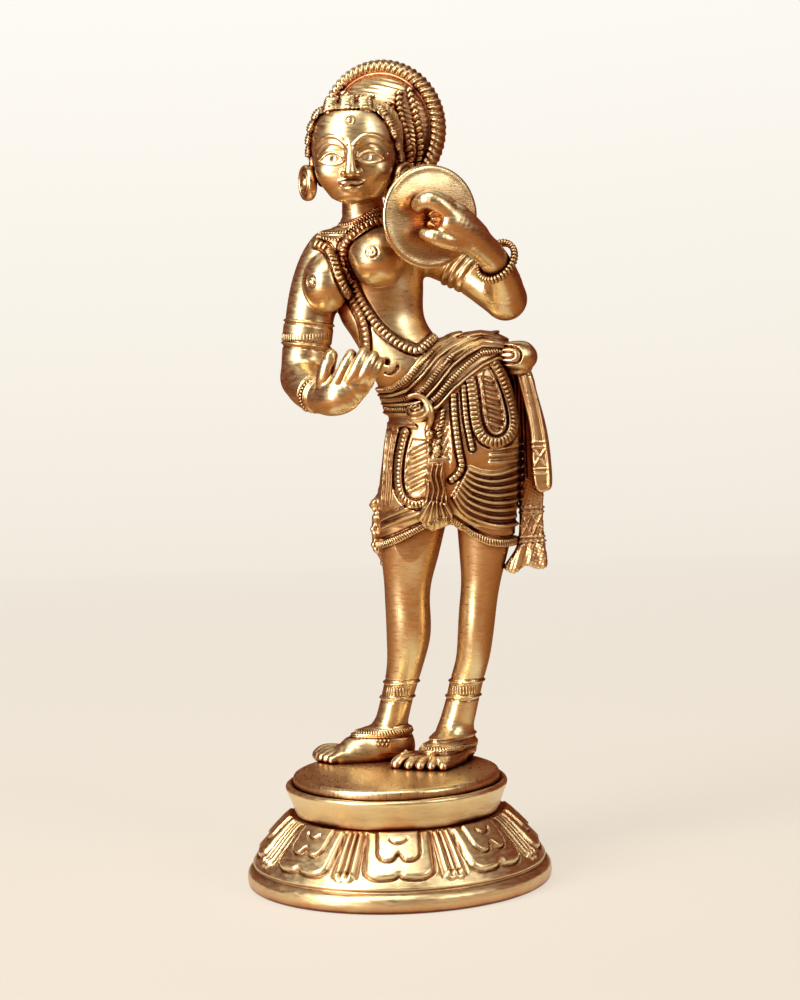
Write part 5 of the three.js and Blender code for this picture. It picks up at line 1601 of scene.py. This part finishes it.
class APSARA_OT_hands(bpy.types.Operator):
    """Sculpts both hands"""

    bl_idname = "apsara.hands"
    bl_label = "Hands"

    def execute(self, context):
        grain = context.scene.apsara_sculpt.face_grain / MM
        skin = brass_material("limb_brass")
        self.right(skin, grain)
        self.left(skin, grain)
        return {"FINISHED"}

    def right(self, skin, grain):
        """The cupped hand in front of the waist, palm up."""
        palm = joined(
            limb([(-15.6, -13.4, 100.3, 4.1), (-13.4, -16.6, 100.4, 4.6), (-11, -19, 101.2, 4.6)]),
            limb([(-11.6, -19, 101, 4.2), (-7.4, -20.6, 103.4, 3.3)]),
            limb([(-9, -18.4, 101.6, 3.6), (-4.6, -20.8, 104.6, 2.3)]),
            softness=1.6,
        )
        hollow = egg((-9.6, -19.2, 108.6), (4.6, 4.2, 3.6))
        fingers = [
            limb([(-12.2, -20.6, 104, 2.0), (-10.4, -21.9, 107.2, 1.75), (-8.7, -21.8, 110.1, 1.6), (-7.9, -20.8, 111.6, 1.45)]),
            limb([(-9.2, -21.4, 104.2, 2.0), (-7, -23.2, 107.6, 1.75), (-5.4, -23, 110.6, 1.6), (-4.5, -21.8, 112.2, 1.4)]),
            limb([(-6.6, -21.4, 104.4, 1.9), (-4.6, -23.4, 107.2, 1.7), (-3, -23.2, 109.8, 1.55), (-2.1, -22.2, 111.2, 1.35)]),
            limb([(-4.6, -20.8, 104.4, 1.8), (-2.8, -22.8, 106.4, 1.6), (-1.4, -22.8, 108.4, 1.45), (-0.6, -21.8, 109.7, 1.3)]),
        ]
        thumb = limb([(-15.2, -16.6, 102.6, 2.4), (-14.8, -18.6, 106, 2.2), (-13.9, -19, 109.2, 2.05), (-13, -18.6, 111.4, 1.7)])
        nail = egg((-13.2, -20.6, 110.6), (1.3, 0.5, 1.9))
        whole = carved(palm, hollow, softness=1.2)
        whole = joined(whole, *fingers, softness=0.45)
        whole = joined(whole, thumb, softness=0.9)
        whole = joined(whole, nail, softness=0.2)
        made = sculpt("right_hand_cast", whole, (-21, -27, 94), (2, -8.5, 115), grain)
        finish_piece(made, skin, "right_hand")

    def left(self, skin, grain):
        """The raised hand that grips the mirror's back from the front."""
        palm = joined(
            limb([(28, -12.4, 136, 3.7), (25, -16.4, 139, 4.0), (21.6, -20.2, 142, 4.6), (18.6, -22.6, 144.4, 4.3)]),
            limb([(24, -17.6, 140.6, 3.6), (19.6, -21.6, 145.4, 3.7)]),
            softness=1.6,
        )
        fingers = [
            limb([(18.6, -23.6, 146, 2.8), (15.4, -25.2, 149.2, 2.45), (12.3, -25, 150.2, 2.2), (10.5, -23, 149, 1.9)]),
            limb([(19, -21.4, 147, 2.5), (16, -22.4, 149.8, 2.3), (12.8, -22, 150.6, 2.1), (10.8, -20, 149.6, 1.8)]),
            limb([(17.6, -22.0, 144.6, 2.1), (15.6, -20.8, 146.8, 1.4), (14.0, -19.4, 146.4, 1.1)]),
            limb([(16.8, -21.2, 142.8, 2.0), (14.8, -20.0, 144.2, 1.3), (13.4, -18.8, 144, 1.0)]),
        ]
        thumb = limb([(20.6, -21, 139.8, 3.0), (17.4, -23.6, 140, 2.5), (14.2, -24.4, 141, 2.1), (11.9, -23.4, 141.7, 1.55)])
        whole = joined(palm, *fingers, softness=0.35)
        whole = joined(whole, thumb, softness=0.8)
        gap = egg((13.2, -24.2, 145.2), (3.6, 4.4, 2.2))
        whole = carved(whole, gap, softness=0.5)
        made = sculpt("left_hand_cast", whole, (7, -30, 130), (33, -8.6, 155), grain)
        finish_piece(made, skin, "left_hand")


class APSARA_OT_mirror(bpy.types.Operator):
    """Turns the round hand mirror"""

    bl_idname = "apsara.mirror"
    bl_label = "Hand Mirror"

    def execute(self, context):
        brass = brass_material("mirror_brass")
        profile = [
            (0, -1.6), (5, -1.5), (10, -1.2), (12.6, -0.9), (13.2, -0.3), (13.25, 0.4), (12.9, 0.8), (12.2, 0.85),
            (11.4, 0.75), (8, 1.0), (4, 1.15), (0, 1.2),
        ]
        made = turned(
            "hand_mirror_cast", profile, MIRROR_CENTRE, MIRROR_FACING, 160,
            lambda r, h, a: filed(a, h, 0.035) * rise(r - 8, 4), lift=SOLE_LEVEL,
        )
        finish_piece(made, brass, "hand_mirror")
        return {"FINISHED"}


# Head


def in_head(points):
    """Points in the head's own frame: x to her left, y to the back, z up from its centre."""
    moved = points - HEAD_CENTRE
    c, s = math.cos(math.radians(HEAD_TURN)), math.sin(math.radians(HEAD_TURN))
    return np.stack([moved[:, 0] * c - moved[:, 1] * s, moved[:, 0] * s + moved[:, 1] * c, moved[:, 2]], 1)


def from_head(points):
    """Points of the head's own frame in the figure's."""
    points = np.atleast_2d(np.asarray(points, float))
    c, s = math.cos(math.radians(HEAD_TURN)), math.sin(math.radians(HEAD_TURN))
    turned_back = np.stack([points[:, 0] * c + points[:, 1] * s, -points[:, 0] * s + points[:, 1] * c, points[:, 2]], 1)
    return turned_back + HEAD_CENTRE


def both_sides(centre, radii, turn=None):
    """The same egg at her left and right."""
    x, y, z = centre
    mirrored = None if turn is None else np.diag((-1, 1, 1)) @ turn
    return [egg((x, y, z), radii, turn), egg((-x, y, z), radii, mirrored)]


@functools.lru_cache(None)
def face_relief():
    """Lids, brows, mouth line and pupils over the face's front view, given for one side."""
    lines = [
        ([(1.6, -2.6), (3.0, -1.3), (4.8, -0.7), (6.6, -1.2), (8.4, -2.7)], 0.4, 0.55),
        ([(1.6, -2.7), (3.0, -3.5), (4.8, -3.8), (6.6, -3.5), (8.4, -2.8)], 0.22, 0.5),
        ([(1.8, -0.6), (3.3, 0.6), (5, 1.0), (7, 0.4), (8.8, -1.4)], -0.22, 0.5),
        ([(1.1, 1.2), (3.0, 2.9), (5.2, 3.5), (7.4, 2.8), (9.6, 0.8)], 0.34, 0.8),
        ([(0, -9.1), (1.5, -9.25), (2.9, -8.85)], -0.3, 0.4),
    ]

    def height(points):
        folded = np.stack([np.abs(points[:, 0]), points[:, 1]], 1)
        total = np.zeros(len(points))
        for line, proud, half_width in lines:
            total += proud * mound(away_from(folded, smooth_line(line))[0], half_width)
        pupil = np.hypot(folded[:, 0] - 4.6, folded[:, 1] + 2.2)
        return total - 0.16 * rise(0.75 - pupil, 0.5)

    return front_map((-12, -14), (12, 12), height, 0.06)


@functools.lru_cache(None)
def head_shape():
    relief = face_relief()
    skull = loft(SKULL)
    cheeks = both_sides((5.4, -6.6, -5.2), (4.2, 3.8, 4.2))
    chin = egg((0, -7.8, -11.3), (3.2, 2.8, 2.2))
    base = joined(skull, *cheeks, chin, softness=2.2)
    sockets = both_sides((4.8, -12.9, -1.2), (3.9, 2.6, 2.4))
    base = carved(base, *sockets, softness=1.3)
    balls = both_sides((4.9, -8.0, -2.2), (3.6, 2.6, 1.8))
    base = joined(base, *balls, softness=0.9)
    nose = limb([(0, -10.6, 1.6, 0.9), (0, -11.9, -1.2, 1.1), (0, -13.0, -4.2, 1.35), (0, -13.3, -5.6, 1.5)])
    wings = both_sides((1.6, -12.0, -6.0), (1.2, 1.5, 1.05))
    base = joined(base, nose, softness=1.1)
    base = joined(base, *wings, softness=0.6)
    nostrils = both_sides((1.0, -12.9, -7.0), (0.55, 0.7, 0.45))
    base = carved(base, *nostrils, softness=0.3)
    upper_lip = both_sides((1.2, -10.7, -8.5), (2.0, 1.2, 0.8))
    lower_lip = egg((0, -10.3, -9.85), (2.4, 1.5, 1.0))
    base = joined(base, *upper_lip, lower_lip, softness=0.7)
    ears = both_sides((11.2, 0.2, -3.2), (1.3, 2.7, 4.8))
    bowls = both_sides((12.4, -0.3, -2.2), (0.9, 1.5, 2.6))
    base = joined(base, *ears, softness=0.7)
    base = carved(base, *bowls, softness=0.4)

    def field(points):
        local = in_head(points)
        return base(local) - relief(local[:, 0], local[:, 2]) * rise(-4 - local[:, 1], 2)

    return field


@functools.lru_cache(None)
def hair_shape():
    """The thin cap of combed hair with three fringe tongues and flame locks down both temples."""
    skull = loft(SKULL)
    line_x = [-14, -12.6, -11.9, -10.6, -8.4, -5, 0, 4, 6.8, 9.2, 11, 12.4, 14]
    line_z = [-6, -2.5, 2.6, 6.4, 9.2, 10.2, 10.4, 10.2, 9.2, 6.6, 3.2, -3, -6]
    tongues = [(-5.2, 11.0, 0.12, 2.0), (-0.8, 11.3, 0.0, 2.05), (3.7, 11.0, -0.12, 2.0)]
    locks = []
    for x, z, lean, wide in tongues:
        skin = cast(skull, np.array([(x, -30.0, z)]), np.array([(0, 1.0, 0)]))[0]
        locks.append(((x, skin[1] + 0.2, z), (wide, 1.9, 2.5), 0.55, lean, 4))
    for x, z, lean, wide in (
        (7.4, 9.6, -0.75, 1.25), (9.0, 6.9, -0.6, 1.25), (10.2, 4.0, -0.4, 1.2), (11.0, 0.9, -0.25, 1.15),
        (11.4, -2.2, -0.1, 1.1), (-8.7, 9.2, 0.75, 1.25), (-10.2, 6.3, 0.55, 1.25), (-11.1, 3.2, 0.35, 1.15),
        (-11.5, 0.1, 0.2, 1.1),
    ):
        skin = cast(skull, np.array([(x, -30.0, z)]), np.array([(0, 1.0, 0)]))[0]
        locks.append(((x * 1.03, min(skin[1] + 0.2, -1.5), z), (wide, 1.5, 2.2), 0.2, lean, 2))

    def field(points):
        local = in_head(points)
        x, y, z = local.T
        cap = skull(local) - 0.9 - 0.13 * np.cos((x + 0.1 * y) * 2 * np.pi / 1.1)
        open_face = np.minimum(np.interp(x, line_x, line_z) - z, np.interp(x, [-6, 6], [-1.5, 2.5]) - y)
        cap = np.maximum(cap, np.maximum(open_face, -9.5 - z))
        for centre, radii, tip, lean, square in locks:
            turn = np.array(Matrix.Rotation(lean, 3, "Y") @ Matrix.Rotation(-tip, 3, "X"))
            offset = (local - centre) @ turn
            bend = offset[:, 2] + 0.16 * offset[:, 0] ** 2
            streak = 0.1 * np.cos(bend * 2 * np.pi / 0.8)
            share = np.abs(offset) / radii
            flat = (share[:, 0] ** square + share[:, 2] ** square) ** (1 / square)
            away = (np.hypot(flat, share[:, 1]) - 1) * radii[0] * 0.9 - streak
            cap = np.minimum(cap, away)
        return cap

    return field


BUN_WAY = (-math.sin(math.radians(BUN_TURN)), -math.cos(math.radians(BUN_TURN)), 0.0)
BUN_CENTRE = tuple(np.array(HEAD_CENTRE) - 17.8 * np.array(BUN_WAY) + (0, 0, 5.1))
FACE_WAY = (-math.sin(math.radians(HEAD_TURN)), -math.cos(math.radians(HEAD_TURN)), 0.0)


class APSARA_OT_head(bpy.types.Operator):
    """Sculpts the head, hair, ear discs and brow mark"""

    bl_idname = "apsara.head"
    bl_label = "Head"

    def execute(self, context):
        grain = context.scene.apsara_sculpt.face_grain / MM
        skin = brass_material("face_brass")
        brass = brass_material("hair_brass")
        head = sculpt("head_cast", head_shape(), (-20, -18, 148.5), (10, 15, 178), grain)
        finish_piece(head, skin, "head")
        cap = sculpt("hair_cap_cast", hair_shape(), (-22, -17, 152), (12, 17, 180), grain)
        finish_piece(cap, brass, "hair_cap")
        self.bun(brass)
        self.braids(brass)
        self.ear_discs(brass)
        self.brow_mark(brass)
        return {"FINISHED"}

    def bun(self, brass):
        """The broad round bun with a hatched rim."""
        profile = [
            (0, -5.2), (6, -5), (11, -4.2), (15, -2.8), (17.2, -1.2), (17.9, 0.8), (17.9, 2.6), (17.2, 3.8),
            (16.2, 4.2), (15.2, 3.9), (14.7, 3.0), (14.3, 3.1), (13.2, 5.0), (11.2, 7.0), (8, 8.8), (4, 9.8), (0, 10),
        ]

        def relief(radius, height, angle):
            rim = rise(radius - 14.9, 0.6) * rise(height + 1.5, 1.5)
            hatch = np.cos(angle * 62 + radius * 1.1)
            dome = rise(14.2 - radius, 1)
            across, up = radius * np.cos(angle), radius * np.sin(angle)
            combed = np.cos((up + 0.16 * across + 0.012 * across**2) * 2 * np.pi / 1.15)
            return rim * (0.34 * hatch - 0.1) + dome * 0.09 * combed

        made = turned(
            "hair_bun_cast", profile, BUN_CENTRE, BUN_WAY, 420, relief, step=0.32, lift=SOLE_LEVEL,
        )
        finish_piece(made, brass, "hair_bun")

    def braids(self, brass):
        """Columns of curls between the head and the bun's rim."""
        facing = np.array(BUN_WAY)
        columns = [
            [(5.4, 6), (6.4, 2), (7.3, -2), (7.8, -6.6), (7, -11)],
            [(7.6, 9), (8.4, 4), (9.7, -1.4), (10, -6.7), (8.9, -11)],
            [(9.6, 9.6), (11.4, 5), (12.5, 0), (12.4, -5), (10.8, -9.4)],
        ]
        rows = []
        for side in (1, -1):
            for line in columns:
                flat = even_line(smooth_line(line), 1.5)
                away = np.hypot(flat[:, 0], flat[:, 1])
                depth = np.interp(away, [0, 4, 8, 11.2, 13.2, 14.3], [10, 9.8, 8.8, 7.0, 5.0, 3.1])
                right = np.cross((0, 0, 1.0), -facing)
                points = np.array(BUN_CENTRE) - flat[:, :1] * side * right + flat[:, 1:] * (0, 0, 1.0)
                points = points + (depth[:, None] + 0.2) * facing
                along = np.gradient(points, axis=0)
                along /= np.linalg.norm(along, axis=1)[:, None]
                rows.append(np.hstack([points, along, np.tile(facing, (len(points), 1))]))
        made = ribs_on("bun_side_curls", rows, brass, 1.7, 2.7, 2.1, 0.55)
        finish_piece(made, brass)

    def ear_discs(self, brass):
        """The large ringed discs in both ear lobes."""
        profile = [
            (0, -1.3), (4.1, -1.3), (4.6, -0.7), (4.7, 0.4), (4.4, 1.2), (3.9, 1.3), (3.45, 0.6), (3.05, 1.25),
            (2.5, 1.35), (2.05, 0.6), (1.65, 1.3), (1.0, 1.8), (0, 1.9),
        ]
        for side, place, axis in (
            ("right", (-12.6, -1.2, -8.3), (-0.94, -0.34, 0.0)), ("left", (12.6, -1.2, -8.3), (0.8, -0.6, 0.0)),
        ):
            centre = from_head(place)[0]
            made = turned(side + "_ear_disc_cast", profile, centre, axis, 72, lift=SOLE_LEVEL, step=0.25)
            finish_piece(made, brass, side + "_ear_disc")

    def brow_mark(self, brass):
        """The round mark on the forehead."""
        seat = cast(head_shape(), from_head([(0, -30, 7.3)]), np.array([FACE_WAY]) * -1)[0]
        profile = [(0, -0.8), (1.3, -0.8), (1.4, 0.1), (1.25, 0.4), (0.95, 0.4), (0.8, 0.15), (0.5, 0.3), (0, 0.4)]
        made = turned("brow_mark_cast", profile, seat, FACE_WAY, 48, lift=SOLE_LEVEL, step=0.12)
        finish_piece(made, brass, "brow_mark")


# Stage


def stage_material(name, floor_colour, wall_colour, height):
    """Pale cream that deepens from the backdrop's top down to the floor, a little bright of its own."""
    material = bpy.data.materials.new(name)
    material.use_nodes = True
    tree = material.node_tree
    shader = tree.nodes["Principled BSDF"]
    shader.inputs["Roughness"].default_value = 0.9
    place = node_of(tree, "ShaderNodeTexCoord").outputs["Object"]
    split = node_of(tree, "ShaderNodeSeparateXYZ", {0: place})
    back = node_of(tree, "ShaderNodeMath", {0: split.outputs["Y"], 1: 0.45}, operation="MULTIPLY")
    level = node_of(tree, "ShaderNodeMath", {0: split.outputs["Z"], 1: back.outputs[0]}, operation="ADD")
    share = ramp_of(tree, level.outputs[0], -0.05, height)
    colour = node_of(tree, "ShaderNodeMix", data_type="RGBA")
    colour.inputs["A"].default_value = (*floor_colour, 1)
    colour.inputs["B"].default_value = (*wall_colour, 1)
    tree.links.new(share, colour.inputs["Factor"])
    dull = node_of(tree, "ShaderNodeMix", data_type="RGBA")
    dull.inputs["Factor"].default_value = 0.2
    dull.inputs["A"].default_value = (0, 0, 0, 1)
    tree.links.new(colour.outputs["Result"], dull.inputs["B"])
    tree.links.new(dull.outputs["Result"], shader.inputs["Base Color"])
    ray = node_of(tree, "ShaderNodeLightPath")
    seen = node_of(
        tree, "ShaderNodeMath", {0: ray.outputs["Is Camera Ray"], 1: ray.outputs["Is Glossy Ray"]},
        operation="MAXIMUM",
    )
    seen = node_of(
        tree, "ShaderNodeMath", {0: seen.outputs[0], 1: ray.outputs["Is Transmission Ray"]}, operation="MAXIMUM",
    )
    glow = node_of(tree, "ShaderNodeMath", {0: seen.outputs[0], 1: 1.0}, operation="MULTIPLY")
    tree.links.new(colour.outputs["Result"], shader.inputs["Emission Color"])
    tree.links.new(glow.outputs[0], shader.inputs["Emission Strength"])
    return material


def soft_box(name, place, aim, width, height, power, colour=(1, 1, 1)):
    """An area light at a place, turned towards a point."""
    light = bpy.data.lights.new(name, "AREA")
    light.shape = "RECTANGLE"
    light.size = width
    light.size_y = height
    light.energy = power
    light.color = colour
    box = bpy.data.objects.new(name, light)
    box.location = place
    box.rotation_euler = (Vector(aim) - Vector(place)).to_track_quat("-Z", "Y").to_euler()
    bpy.context.scene.collection.objects.link(box)
    return box


class APSARA_OT_stage(bpy.types.Operator):
    """Sets the backdrop, the lights and the camera"""

    bl_idname = "apsara.stage"
    bl_label = "Stage"

    def execute(self, context):
        settings = context.scene.apsara_stage
        self.backdrop(settings)
        self.lights(settings)
        self.flags()
        self.camera(settings)
        context.scene.view_settings.view_transform = "Standard"
        return {"FINISHED"}

    def backdrop(self, settings):
        """A floor that curves up into a wall behind the figurine."""
        half_width, front, back, bend, top = 1600, -1400, 900, 350, 1800
        profile = [(front, 0.0)]
        for step in range(13):
            angle = math.radians(90 * step / 12)
            profile.append((back - bend + bend * math.sin(angle), bend - bend * math.cos(angle)))
        profile.append((back, top))
        points = [(x, y, z) for y, z in profile for x in (-half_width, half_width)]
        faces = [(2 * i, 2 * i + 1, 2 * i + 3, 2 * i + 2) for i in range(len(profile) - 1)]
        sweep = mesh_object("backdrop", points, faces)
        sweep.data.materials.append(
            stage_material("backdrop_paper", settings.floor_colour, settings.wall_colour, 0.75)
        )

    def lights(self, settings):
        """A tall soft box at the upper left, a narrow strip at the right, a top light and a dim world."""
        middle = (0, 0, 0.11)
        soft_box("key_soft_box", (-0.56, -0.46, 0.38), middle, 0.34, 0.8, settings.key_power)
        soft_box("right_soft_box", (0.56, -0.46, 0.46), middle, 0.24, 0.4, settings.fill_power)
        soft_box("top_soft_box", (-0.1, -0.3, 0.85), middle, 0.4, 0.4, settings.fill_power)
        world = bpy.data.worlds.new("studio")
        bpy.context.scene.world = world
        world.use_nodes = True
        world.node_tree.nodes["Background"].inputs["Color"].default_value = (1.0, 0.56, 0.29, 1)
        world.node_tree.nodes["Background"].inputs["Strength"].default_value = settings.room

    def flags(self):
        """Dark red cards round the figurine, seen only in the metal, that darken its edges and folds."""
        rings = (
            ("upright_flag", (0.17, 0.03, 0.006), (-40, 212), (560, 4), (560, 620)),
            ("ground_flag", (0.36, 0.145, 0.05), (0, 360), (90, 4), (1300, 4)),
        )
        for name, tint, span, low, high in rings:
            card = bpy.data.materials.new(name)
            card.use_nodes = True
            shader = card.node_tree.nodes["Principled BSDF"]
            shader.inputs["Base Color"].default_value = (*tint, 1)
            shader.inputs["Roughness"].default_value = 1.0
            shader.inputs["Specular IOR Level"].default_value = 0.0
            angles = np.radians(np.linspace(*span, 60))
            corners = [(r * np.cos(a), r * np.sin(a), z) for a in angles for r, z in (low, high)]
            sides = [(2 * i, 2 * i + 1, 2 * i + 3, 2 * i + 2) for i in range(len(angles) - 1)]
            made = mesh_object(name, corners, sides)
            made.data.materials.append(card)
            made.visible_camera = False
            made.visible_shadow = False
            made.visible_diffuse = False

    def camera(self, settings):
        """The camera of a low product photograph, with a slight lean."""
        pitch, roll = settings.camera_pitch, settings.camera_roll
        forward = Vector((0, math.cos(pitch), -math.sin(pitch)))
        up = Vector((0, math.sin(pitch), math.cos(pitch)))
        right = Vector((1, 0, 0))
        leant_right = math.cos(roll) * right - math.sin(roll) * up
        leant_up = math.sin(roll) * right + math.cos(roll) * up
        lens = bpy.data.cameras.new("camera")
        lens.lens = settings.lens
        camera = bpy.data.objects.new("camera", lens)
        turn = Matrix((leant_right, leant_up, -forward)).transposed().to_4x4()
        place = Vector((settings.camera_side, -settings.camera_distance, settings.camera_height))
        camera.matrix_world = Matrix.Translation(place) @ turn
        bpy.context.scene.collection.objects.link(camera)
        bpy.context.scene.camera = camera


class APSARA_PT_panel(bpy.types.Panel):
    """Lists the settings and the steps that make the figurine"""

    bl_idname = "APSARA_PT_panel"
    bl_label = "Apsara Figurine"
    bl_space_type = "VIEW_3D"
    bl_region_type = "UI"
    bl_category = "Apsara"

    def draw(self, context):
        for group in (context.scene.apsara_sculpt, context.scene.apsara_brass, context.scene.apsara_stage):
            box = self.layout.box()
            for name in group.__annotations__:
                box.prop(group, name)
        for step in STEPS:
            self.layout.operator(step.bl_idname)


STEPS = (
    APSARA_OT_stage, APSARA_OT_pedestal, APSARA_OT_legs, APSARA_OT_dress, APSARA_OT_girdle, APSARA_OT_sashes,
    APSARA_OT_body, APSARA_OT_hands, APSARA_OT_mirror, APSARA_OT_head,
)
CLASSES = (BrassSettings, SculptSettings, StageSettings, *STEPS, APSARA_PT_panel)


def register():
    for cls in CLASSES:
        bpy.utils.register_class(cls)
    bpy.types.Scene.apsara_brass = bpy.props.PointerProperty(type=BrassSettings)
    bpy.types.Scene.apsara_sculpt = bpy.props.PointerProperty(type=SculptSettings)
    bpy.types.Scene.apsara_stage = bpy.props.PointerProperty(type=StageSettings)


def unregister():
    del bpy.types.Scene.apsara_stage
    del bpy.types.Scene.apsara_sculpt
    del bpy.types.Scene.apsara_brass
    for cls in reversed(CLASSES):
        bpy.utils.unregister_class(cls)


def main():
    register()
    bpy.ops.apsara.stage()
    bpy.ops.apsara.pedestal()
    bpy.ops.apsara.legs()
    bpy.ops.apsara.dress()
    bpy.ops.apsara.girdle()
    bpy.ops.apsara.sashes()
    bpy.ops.apsara.body()
    bpy.ops.apsara.hands()
    bpy.ops.apsara.mirror()
    bpy.ops.apsara.head()


if __name__ == "__main__":
    main()
